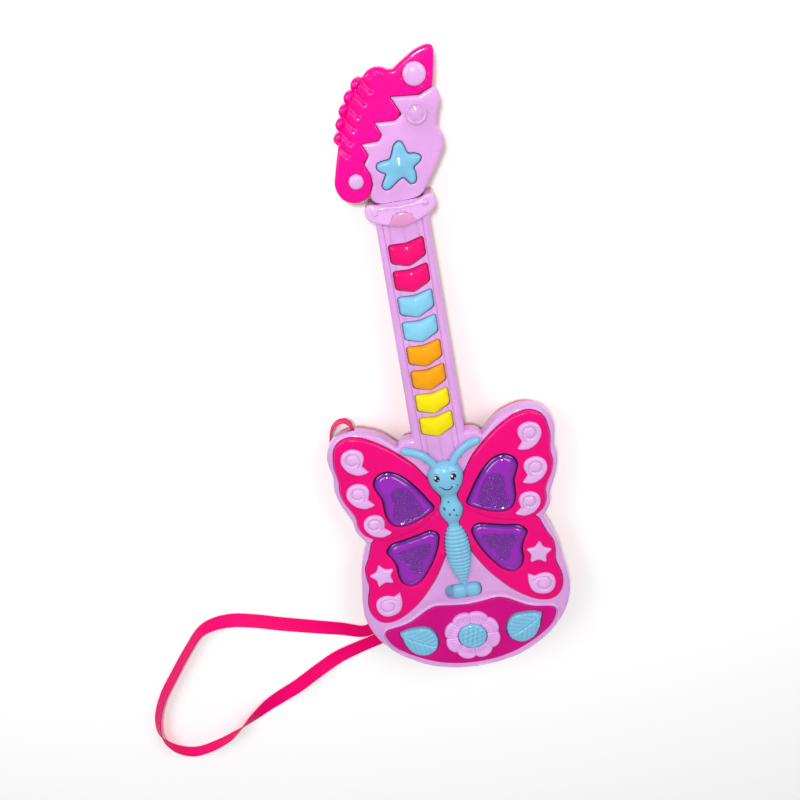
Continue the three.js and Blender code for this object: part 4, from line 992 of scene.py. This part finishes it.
def ornaments():
    upper, lower = UPPER_WING_Z + 0.05, LOWER_WING_Z + 0.05
    rows = [("wing_snail_top", snail_part(59.3, -32, 0, 1, upper)),
            ("wing_snail_middle", snail_part(60.3, -57.8, -0.06, 1, upper)),
            ("wing_snail_low", snail_part(53.5, -82.8, -0.22, 0.95, upper)),
            ("wing_snail_tail", snail_part(55.6, -150.2, -math.pi / 2, 1.13, lower, TAIL_SNAIL)),
            ("wing_star", star_part(55, -124.6, -0.16, lower))]
    for name, part in rows:
        for side, shape in (("right", part), ("left", flipped(part))):
            piece(f"{name}_{side}_relief", [shape], "trim", replaces=f"{name}_{side}")


FULLNESS = 0.66  # the figure's height as a share of its half width


def figure():
    """The butterfly's body: face, chest, ringed tail and feelers, with painted eyes, mouth and spots."""
    base = FACE_Z + GAP
    head = spline(FIGURE, 0.5)[1:]
    ys = np.arange(-93.8, -140, -0.25)
    waist = 1.05 * (1 - np.abs(np.sin((ys - TAIL_TOP_Y) * math.pi / TAIL_RING)) ** 0.6)
    tail_width = figure_half_width(ys) + 0.2 - waist * np.clip((-93 - ys) / 3, 0, 1)
    rows = [(0.15, -43.2)] + [tuple(h) for h in head] + list(zip(tail_width, ys))
    rows += [(2.6, -140.2), (1.6, -140.6), (0.2, -140.8)]
    count = 28
    arch = [math.pi * k / count for k in range(count + 1)]
    verts = [(w * math.cos(a), y, base + FULLNESS * w * math.sin(a) ** 0.9) for w, y in rows for a in arch]
    faces = []
    for i in range(len(rows) - 1):
        for k in range(count):
            a = i * (count + 1) + k
            faces.append((a, a + 1, a + count + 2, a + count + 1))
        a = i * (count + 1)
        faces.append((a + count, a, a + count + 1, a + 2 * count + 1))
    faces = [face[::-1] for face in faces]
    faces += [tuple(range(count + 1)), tuple(range(len(verts) - 1, len(verts) - count - 2, -1))]
    parts = [(np.array(verts), faces)]
    for side in (1, -1):
        path = spline([(side * x, y, z) for x, y, z in ANTENNA], 0.8, power=0.5)
        line, radii = capped(path, 2.75)
        parts.append(sweep(line, radii, 18, 0.92))
    piece("butterfly_body", parts, "blue", replaces="butterfly_figure", sharp=50)

    def surface(x, y):
        """The body's height at a place."""
        rows_y = np.array([r[1] for r in rows])[::-1]
        rows_w = np.array([r[0] for r in rows])[::-1]
        w = np.interp(y, rows_y, rows_w)
        return base + FULLNESS * w * max(0.0, 1 - (x / w) ** 2) ** 0.45

    def decal(cx, cy, rx, ry, lift, count=24):
        """A thin painted spot that follows the body."""
        verts = [(cx, cy, surface(cx, cy) + lift)]
        for ring in (0.35, 0.7, 0.92, 1.0):
            for a in around(count):
                x, y = cx + rx * ring * math.cos(a), cy + ry * ring * math.sin(a)
                verts.append((x, y, surface(x, y) + (lift if ring < 1 else -0.1)))
        faces = [(0, 1 + k, 1 + (k + 1) % count) for k in range(count)]
        for ring in range(3):
            for k in range(count):
                a, b = 1 + ring * count + k, 1 + ring * count + (k + 1) % count
                faces.append((a, a + count, b + count, b))
        return np.array(verts), faces

    def stroke(line, half):
        """A thin painted line that follows the body and thins out at its ends."""
        line = spline(line, 0.35, power=0.5)
        path = [(x, y, surface(x, y)) for x, y in line]
        from_end = [min(i, len(path) - 1 - i) for i in range(len(path))]
        return sweep(path, [half * min(1, 0.35 + 0.65 * i / 4) for i in from_end], 8)

    eye_xs = (-6, 5.2)
    eyes = [decal(x, -53, 2.1, 2.5, 0.14) for x in eye_xs]
    smile = [(-5, -59.4), (-3.6, -59.9), (-1.8, -61.7), (0, -62.3), (1.8, -61.9), (3.2, -60.4), (4.6, -59.3)]
    dimple = [(-5.6, -58.9), (-4.9, -59.4), (-4.9, -60.1)]
    brows = [[(x - 1.9, -50.2), (x, -49.5), (x + 2, -50)] for x in eye_xs]
    paint = eyes + [stroke(smile, 0.4), stroke(dimple, 0.2)] + [stroke(brow, 0.16) for brow in brows]
    piece("eyes_and_smile", paint, "eye")
    glints = [(-6.9, -52.2, 0.75, 0.95), (4.3, -52.2, 0.75, 0.95), (-5.1, -54.1, 0.5, 0.4),
              (6.1, -54.1, 0.5, 0.4)]
    piece("eye_glints", [decal(*glint, 0.24) for glint in glints], "glint")
    spots = [(-4.4, -77.6, 0.9, 1.3), (1.9, -79, 0.75, 1.05), (-1.3, -82, 0.85, 1.15), (3, -83.7, 0.65, 0.95),
             (-1, -73, 0.6, 0.8), (7, -60.5, 0.7, 0.5), (-8, -61, 0.5, 0.4)]
    piece("body_spots", [decal(*spot, 0.1) for spot in spots], "spot")


def toothed_leaf(teeth):
    """The right leaf with small teeth along its edge."""
    run = run_along(leaf_right)
    bite = teeth * (1 - (run / 3.4 % 1)) * np.clip(run / 5, 0, 1)
    return np.array([grow(leaf_right, -b)[i] for i, b in enumerate(bite)])


def control_plate():
    """The plate around the flower and the leaves."""
    leaf = grow(leaf_right, BUTTON_GAP)
    holes = [leaf, mirror(leaf), grow(flower_disc, BUTTON_GAP)]

    def height(p):
        return CONTROL_Z - drop(-sdf(control_panel, p), 0.8) - drop(np.maximum(union(holes, p), 0), 0.5)

    part = relief([control_panel], holes, height, DECK_Z + GAP, ring_depths(0.8, 3), [0.15, 0.5], 3)
    piece("control_plate", [part], "control", replaces="control_panel")


def cap_over(outline, height, base, edge, count, spacing, **more):
    """A solid over one outline, with rings of edges where its rim is rounded."""
    return relief([outline], [], height, base, ring_depths(edge, count), spacing=spacing, **more)


def flange(outline, spread):
    """The hidden plate under a button that keeps it in its hole."""
    return relief([grow(outline, spread)], [], FLANGE_TOP_Z, FLANGE_Z, spacing=6)


PETAL_TOP_Z, PLEAT_DEPTH, PLEATS_PER_PETAL = 32.4, 0.55, 5
DISC_TOP_Z, DISC_GRID = 33.4, 3.4


def flower():
    """The ring of pleated petals, and the button in its middle with a grid of grooves."""
    count = 320
    angle = np.arange(count) / count * 2 * math.pi
    radius = NOTCH + (PETAL - NOTCH) * np.abs(np.sin(4 * angle)) ** 0.6
    petals = np.stack([radius * np.cos(angle), FLOWER_Y + radius * np.sin(angle)], axis=1)
    hole = circle(0, FLOWER_Y, DISC + 0.5, 72)
    z0 = CONTROL_Z + 0.1
    seams = [np.array([(math.cos(a) * r, FLOWER_Y + math.sin(a) * r) for r in np.linspace(11.2, 16.8, 8)])
             for a in np.arange(8) * math.pi / 4]

    def height(p):
        a = np.arctan2(p[:, 1] - FLOWER_Y, p[:, 0])
        r = away_from(0, FLOWER_Y, p)
        depth = -sdf(petals, p)
        bulge = np.abs(np.sin(4 * a)) ** 0.55
        z = z0 + 0.7 + (PETAL_TOP_Z - z0 - 0.7) * (0.45 + 0.55 * bulge) - drop(depth, 1.6, 1.5)
        z = z - 0.6 * np.exp(-((r - 15) / 2.4) ** 2) * bulge
        z = z - 0.7 * (1 - np.clip((r - DISC) / 4, 0, 1)) ** 2
        fade = np.clip((17.2 - r) / 3, 0, 1) * np.clip((r - 11.2) / 1.2, 0, 1)
        pleats = PLEAT_DEPTH * (0.5 + 0.5 * np.cos(PLEATS_PER_PETAL * 8 * a)) ** 2 * fade
        return np.maximum(z - pleats, z0 + 0.12)

    part = relief([petals], [hole], height, z0, rings=ring_depths(2.2, 5), hole_rings=[0.4, 1.2], spacing=0.5,
                  extra=seams)
    piece("flower_petal_ring", [part], "petal", replaces="flower_petals")

    def disc_height(p):
        local = p - (0, FLOWER_Y)
        r = away_from(0, FLOWER_Y, p)
        z = DISC_TOP_Z - 0.5 - drop(DISC - r, 2.2, 2.0) + crown(DISC - r, DISC, 0.5)
        for turn in (-0.2, math.pi / 2 + 0.3):
            across = local[:, 0] * math.cos(turn) + local[:, 1] * math.sin(turn)
            away = np.abs((across / DISC_GRID + 0.5) % 1 - 0.5) * DISC_GRID
            z = z + groove(away, 0.62, 0.6) * np.clip((DISC - r - 0.8) / 1.2, 0, 1)
        return z

    cap = cap_over(flower_disc, disc_height, CAP_FOOT_Z, 2.2, 5, 0.42)
    piece("flower_centre", [cap, flange(flower_disc, 1.6)], "blue", "flower_button", "flower_button")


VEIN_PITCH = 4.3


def leaves():
    """Two leaf buttons with a curved midrib, side veins and a toothed edge."""
    outline = toothed_leaf(0.42)
    tip, foot = np.array((51.0, -175.6)), np.array((27.0, -190.5))
    along = (foot - tip) / np.linalg.norm(foot - tip)
    across = np.array((-along[1], along[0]))
    vein = np.array([tip + along * t + across * 1.1 * math.sin(t / 28 * math.pi)
                     for t in np.linspace(0, 27, 20)])

    def height(p):
        depth = -sdf(outline, p)
        local = p - tip
        u, v = local @ along, local @ across
        z = BUTTON_Z - 0.7 - drop(depth, 1.5, 1.7) + crown(depth, 7, 0.7)
        z = z + groove(line_distance(vein, p), 1.0, 0.95)
        wave = (u - np.abs(v) * 0.85) / VEIN_PITCH % 1
        fade = np.clip((np.abs(v) - 0.6) / 1.2, 0, 1) * np.clip((depth - 0.3) / 1.2, 0, 1)
        return z - 0.55 * np.clip(1 - np.minimum(wave, 1 - wave) * 4.2, 0, 1) * fade - 0.15 * wave * fade

    cap = cap_over(outline, height, CAP_FOOT_Z, 1.5, 4, 0.55, extra=[vein])
    parts = [cap, flange(leaf_right, 1.6)]
    for side, shape in (("right", parts), ("left", [flipped(part) for part in parts])):
        piece(f"leaf_{side}", shape, "blue", f"leaf_button_{side}", f"leaf_button_{side}")


def keys():
    """Eight roof-shaped keys with a cushioned top, two of each colour."""
    colours = ["key_pink", "key_blue", "key_orange", "key_yellow"]
    slope = (KEY_RIDGE_Z - KEY_EDGE_Z + 0.2) / KEY_HALF
    for i, y in enumerate(key_ys):
        outline = key_outline(y)

        def height(p):
            depth = -sdf(outline, p)
            x = np.abs(p[:, 0])
            fall = slope * (np.sqrt(x * x + 0.5) - 0.7)
            return KEY_RIDGE_Z - fall - drop(depth, 1.7, 1.5) + crown(depth, 7.5, 1.5) - 1.4

        ridge = np.array([(0, y - 0.4 - t) for t in np.linspace(0, KEY_DEPTH - 0.8, 12)])
        cap = cap_over(outline, height, CAP_FOOT_Z, 1.7, 5, 1.0, extra=[ridge])
        name = f"neck_key_{i + 1}"
        piece(f"key_cap_{i + 1}", [cap, flange(outline, 0.9)], colours[i // 2], name, name)


KNOB_FOOT_Z, KNOB_TOP_Z, LOBE_X, VALLEY = 23.8, 32.6, 4.8, 3.4
APRON_LEFT, APRON_RIGHT, APRON_HALF, APRON_Z = 18.5, 15.8, 8, 22.6


def switch():
    """A knob with two rounded lobes, on a hidden apron that covers the slot over the whole travel."""
    outline = switch_outline(0, 0)

    def height(p):
        depth = -sdf(outline, p)
        x, y = p[:, 0] - SWITCH_X, p[:, 1] - SWITCH_Y
        lobe = ((np.abs(x) - LOBE_X) / 5.8) ** 2 + (y / 6.1) ** 2
        return KNOB_TOP_Z - drop(depth, 2.4, 2.0) - VALLEY * (1 - np.sqrt(np.clip(1 - lobe, 0, 1)))

    cap = cap_over(outline, height, KNOB_FOOT_Z, 2.6, 6, 0.7)
    plate = box2(SWITCH_X - APRON_LEFT, SWITCH_Y - APRON_HALF, SWITCH_X + APRON_RIGHT, SWITCH_Y + APRON_HALF)
    apron = relief([fillet(plate, 1, 3, 4)], [], FLANGE_TOP_Z, APRON_Z, spacing=6)
    piece("switch_slider", [cap, apron], "blue", "slide_switch_knob", "slide_switch_knob")


# ---- Head ----
def head():
    """The lilac head with its raised ring, and the star button."""
    bore = grow(head_star, BUTTON_GAP)
    saddle = grow(neck_outline, GAP)

    def height(p):
        depth = -sdf(head_outline, p)
        depth = np.where((p[:, 1] < 134) & (np.abs(p[:, 0]) < 14.4), 8, depth)
        z = HEAD_Z - drop(depth, 1.4) + crown(depth, 8, 0.25) - 0.25
        away = away_from(*HEAD_RING, p)
        z = z + 1.0 * np.clip(1 - np.maximum(away - 5.2, 0) / 1.5, 0, 1) ** 0.5 * (away < 6.7)
        z = z + groove(np.abs(away - 4.6), 1.0, 0.75)
        return z - drop(np.maximum(sdf(bore, p), 0), 0.5)

    circles = [line_around(circle(*HEAD_RING, r, 48)) for r in (4.4, 5.0, 5.6, 6.2, 6.7)]
    lid = relief([head_outline], [bore], height, DECK_UNDER_Z, ring_depths(1.4, 4), [0.15, 0.5], 1.8, circles,
                 region=lambda p: sdf(saddle, p))
    inner = grow(head_outline, -2.2)
    wall = relief([head_outline], [inner], DECK_UNDER_Z, PARTING_Z + GAP / 2,
                  spacing=40, region=lambda p: sdf(saddle, p))
    piece("head_plate", [lid, wall], "lilac", replaces="head_shell")

    def star_height(p):
        depth = -sdf(head_star, p)
        away = away_from(STAR_X, STAR_Y, p)
        peak = 1.1 * np.clip(1 - away / 5.5, 0, 1) ** 1.15
        return HEAD_Z + 2.6 - 1.5 - drop(depth, 1.8, 1.6) + crown(depth, 6, 0.4) + peak

    cap = cap_over(head_star, star_height, CAP_FOOT_Z, 1.8, 5, 0.8)
    piece("star_cap", [cap, flange(head_star, 1.0)], "blue", "star_button", "star_button")


def crest():
    """The ribbed crest with its horn and lobe, and the two domed studs."""
    main, ribs = crest_parts()
    outers = [main, *ribs]
    notch = grow(head_outline, GAP)
    sockets = [circle(x, y, radius + GAP, sides) for (x, y, radius, _), sides in zip(STUDS.values(), (40, 32))]
    inward = np.array((0.56, -0.83))

    def height(p):
        depth_main = -sdf(main, p)
        z = CREST_Z - drop(np.maximum(depth_main, 0), 1.8) + crown(depth_main, 8, 0.3) - 0.3
        z = np.where(depth_main > -1e-3, z, CREST_Z - 2.1)
        whole = -union(outers, p)
        z = np.maximum(z, CREST_Z - 0.3 - drop(np.maximum(whole, 0), 1.8))
        for x, y, r in RIBS:
            depth = r - away_from(x, y, p)
            rounded = CREST_Z + 0.1 - drop(np.maximum(depth, 0), min(r, 3.2), 2.2)
            z = np.where(depth > -1e-3, np.maximum(z, rounded), z)
        for a, b in zip([(-31.4, 166.2), *RIBS[:-1]], RIBS):
            middle = np.array(((a[0] + b[0]) / 2, (a[1] + b[1]) / 2) if b is not RIBS[-1] else (-9.6, 202.4))
            line = np.array([middle - inward * 1.5, middle + inward * 7.5])
            z = z + groove(line_distance(line, p), 2.3, 1.5)
        z = z - drop(np.maximum(sdf(notch, p), 0), 1.0, 0.9)
        return np.where(union(sockets, p) < 0, CREST_Z - 1, z)

    extra = []
    for outline in outers:
        extra += inset_lines(outline, ring_depths(1.8, 4))
    for socket in sockets:
        extra += inset_lines(socket, (0, 0.05))
    part = relief(outers, [notch], height, PARTING_Z + GAP / 2, hole_rings=[0.15, 0.5, 1.0], spacing=0.95,
                  extra=extra)
    piece("crest_plate", [part], "crest", replaces="head_crest")
    for name, (x, y, radius, tall) in STUDS.items():
        z0 = CREST_Z - 1 + 0.05
        profile = [(radius, 0), (radius, 0.9)]
        profile += [(radius * math.cos(a), 0.9 + (tall - 0.9) * math.sin(a))
                    for a in np.linspace(0.12, 1.5, 12)]
        piece(f"{name}_cap", [lathe(profile, x, y, z0, 40)], "trim", replaces=name)


BAR_Z, SOCKET_FLOOR_Z, DOME_FOOT_Z, DOME_TOP_Z = 31.2, 30.3, 30.4, 31.3


def collar():
    """The bar between neck and head, with two bumps and a half dome."""
    saddle = grow(neck_outline, GAP)
    dome = circle(*NUT_DOME, 48)
    bumps = [(-15.2, 126.6), (15.6, 128.2)]

    def height(p):
        depth = -sdf(collar_outline, p)
        z = BAR_Z - drop(depth, 1.6)
        rib = np.abs(p[:, 1] - (130.9 - 2.1 - (21 - np.abs(p[:, 0])) * 0.03))  # a bar along the upper edge
        z = z - groove(rib, 1.3, 0.5) * (np.abs(p[:, 0]) < 17)
        for x, y in bumps:
            z = z + 1.0 * np.clip(1 - away_from(x, y, p) / 2.0, 0, 1) ** 0.5
        return np.where(sdf(dome, p) < 0, SOCKET_FLOOR_Z, z)

    extra = [line_around(circle(x, y, r, 20)) for x, y in bumps for r in (0.7, 1.3, 1.75, 2.0)]
    extra += inset_lines(dome, (0, 0.05))
    notch = grow(head_outline, GAP)
    lid = relief([collar_outline], [notch], height, FACE_Z + GAP, ring_depths(1.6, 5), spacing=0.9, extra=extra)
    skirt = relief([collar_outline], [notch], FACE_Z + GAP, PARTING_Z + GAP / 2,
                   spacing=20, region=lambda p: sdf(saddle, p))
    piece("nut_bar", [lid, skirt], "trim", replaces="nut_collar")
    inner_dome = circle(NUT_DOME[0], NUT_DOME[1], NUT_DOME[2] - 0.05, 48)
    lower = grow(collar_outline, -0.5)

    def dome_height(p):
        depth = np.minimum(-sdf(inner_dome, p), -sdf(lower, p))
        return DOME_TOP_Z - drop(np.maximum(depth, 0), 0.3) + crown(depth, 5, 0.5)

    part = cap_over(inner_dome, dome_height, DOME_FOOT_Z, 0.9, 3, 0.8,
                    extra=inset_lines(lower, (0, 0.15, 0.5)), region=lambda p: -sdf(lower, p))
    piece("nut_half_dome", [part], "dome", replaces="nut_dome")


# ---- Back ----
def battery_door():
    """The battery cover with finger grips, and its screw."""
    half = DOOR_HALF - 0.4
    outline = fillet(box2(-half, DOOR_BOTTOM + 0.4, half, DOOR_TOP - 0.4), 0.6, 3, 3)
    well = circle(0, DOOR_SCREW_Y, 2.7, 28)
    bore = circle(0, DOOR_SCREW_Y, 1.4, 20)
    grips = [fillet(box2(-8, -160 + 3 * k, 8, -158.8 + 3 * k), 0.6, 3, 3) for k in (-1, 0, 1)]

    def height(p):
        depth = -sdf(outline, p)
        z = 0.3 + drop(depth, 0.6)
        z = np.where(union(grips, p) < 0, 0.9, z)
        return np.where(sdf(well, p) < 0, 1.4, z)

    extra = [line_around(grow(grip, -inset)) for inset in (0, 0.15) for grip in grips]
    extra += inset_lines(well, (0, 0.05))
    part = relief([outline], [bore], height, 2.1, rings=ring_depths(0.6, 3), spacing=5, extra=extra, flip=True)
    piece("battery_cover", [part], "pink", "battery_door", "battery_door")
    cross_screw("battery_cover_screw", (0, DOOR_SCREW_Y, 1.2), DOOR_SCREW, "battery_door_screw", "battery_door")


def cross_screw(name, place, size, replaces, body="root"):
    """A cross-headed screw that points up, with its head below its place."""
    x, y, z = place
    head, head_height, shank, length = size
    rim = circle(x, y, head, 32)
    slot_half = head * 0.14
    arms = [box2(x - head * 0.62, y - slot_half, x + head * 0.62, y + slot_half),
            box2(x - slot_half, y - head * 0.62, x + slot_half, y + head * 0.62)]

    def height(p):
        away = away_from(x, y, p)
        low = z - head_height + 0.5 * head_height * np.clip(away / head, 0, 1) ** 3
        return np.where(union(arms, p) < 1e-6, low + head_height * 0.5, low)

    extra = [line for arm in arms for line in inset_lines(arm, (0, -0.04))]
    cap = relief([rim], [], height, z, [0.15 * head, 0.35 * head], spacing=head / 4, extra=extra, flip=True)
    turns = 12
    profile = [(shank, 0)]
    for i in range(turns):
        at = (i + 0.5) / turns * (length - 1)
        profile += [(shank, at), (shank * 0.78, at + (length - 1) / turns / 2)]
    profile += [(shank * 0.7, length - 1), (0.1, length)]
    piece(name, [cap, lathe(profile, x, y, z, 20)], "steel", replaces, body)


def inside():
    """Better materials for the inner pieces that keep their own shape."""
    looks = {"battery_contact_head": "contact", "battery_contact_tail": "contact",
             "loudspeaker": "black", "main_board": "board", "neck_board": "board",
             "body_button_mat": "rubber", "neck_key_mat": "rubber",
             **{f"battery_cell_{i}": "cell" for i in (1, 2, 3)},
             **{f"wing_led_{i}": "led" for i in (1, 2, 3, 4)}}
    for name, look in looks.items():
        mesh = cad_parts[name].data
        mesh.materials.clear()
        mesh.materials.append(MAT[look])


front_shell()
back_shell()
wing_panel()
for lens_level in ("upper", "lower"):
    for lens_side in ("right", "left"):
        lens(lens_level, lens_side)
ornaments()
figure()
control_plate()
flower()
leaves()
keys()
switch()
head()
crest()
collar()
battery_door()
for screw_index, (screw_x, screw_y) in enumerate(CASE_SCREWS):
    cross_screw(f"shell_screw_{screw_index + 1}", (screw_x, screw_y, 8.7), CASE_SCREW,
                f"case_screw_{screw_index + 1}")
inside()


# ---- Studio ----
def studio():
    """A pale floor and world, one small key lamp beyond the head and two large soft ones at the sides."""
    floor_mesh = bpy.data.meshes.new("floor")
    reach = 6
    floor_mesh.from_pydata([(-reach, -reach, 0), (reach, -reach, 0), (reach, reach, 0), (-reach, reach, 0)], [],
                           [(0, 1, 2, 3)])
    floor = bpy.data.objects.new("floor", floor_mesh)
    bpy.context.scene.collection.objects.link(floor)
    material = bpy.data.materials.new("floor_paint")
    material.use_nodes = True
    shader = material.node_tree.nodes["Principled BSDF"]
    shader.inputs["Base Color"].default_value = (0.97, 0.97, 0.97, 1)
    shader.inputs["Roughness"].default_value = 0.9
    shader.inputs["Specular IOR Level"].default_value = 0.1
    floor_mesh.materials.append(material)
    world = bpy.data.worlds.new("studio")
    bpy.context.scene.world = world
    world.use_nodes = True
    world.node_tree.nodes["Background"].inputs["Color"].default_value = (1, 1, 1, 1)
    world.node_tree.nodes["Background"].inputs["Strength"].default_value = 0.32
    lamps = [("key", (-0.05, 0.44, 1.1), 0.12, 7.2), ("fill", (0.9, 0.6, 1.1), 0.9, 8),
             ("rim", (-0.9, 0.6, 1.1), 0.9, 8)]
    for name, place, size, power in lamps:
        data = bpy.data.lights.new(name, "AREA")
        data.shape = "DISK"
        data.size = size
        data.energy = power
        lamp = bpy.data.objects.new(name, data)
        lamp.location = place
        lamp.rotation_mode = "QUATERNION"
        lamp.rotation_quaternion = (Vector(place) - Vector((0, -0.05, 0))).to_track_quat("Z", "Y")
        bpy.context.scene.collection.objects.link(lamp)
    bpy.context.scene.view_settings.view_transform = "Standard"
    bpy.context.scene.view_settings.look = "None"


studio()
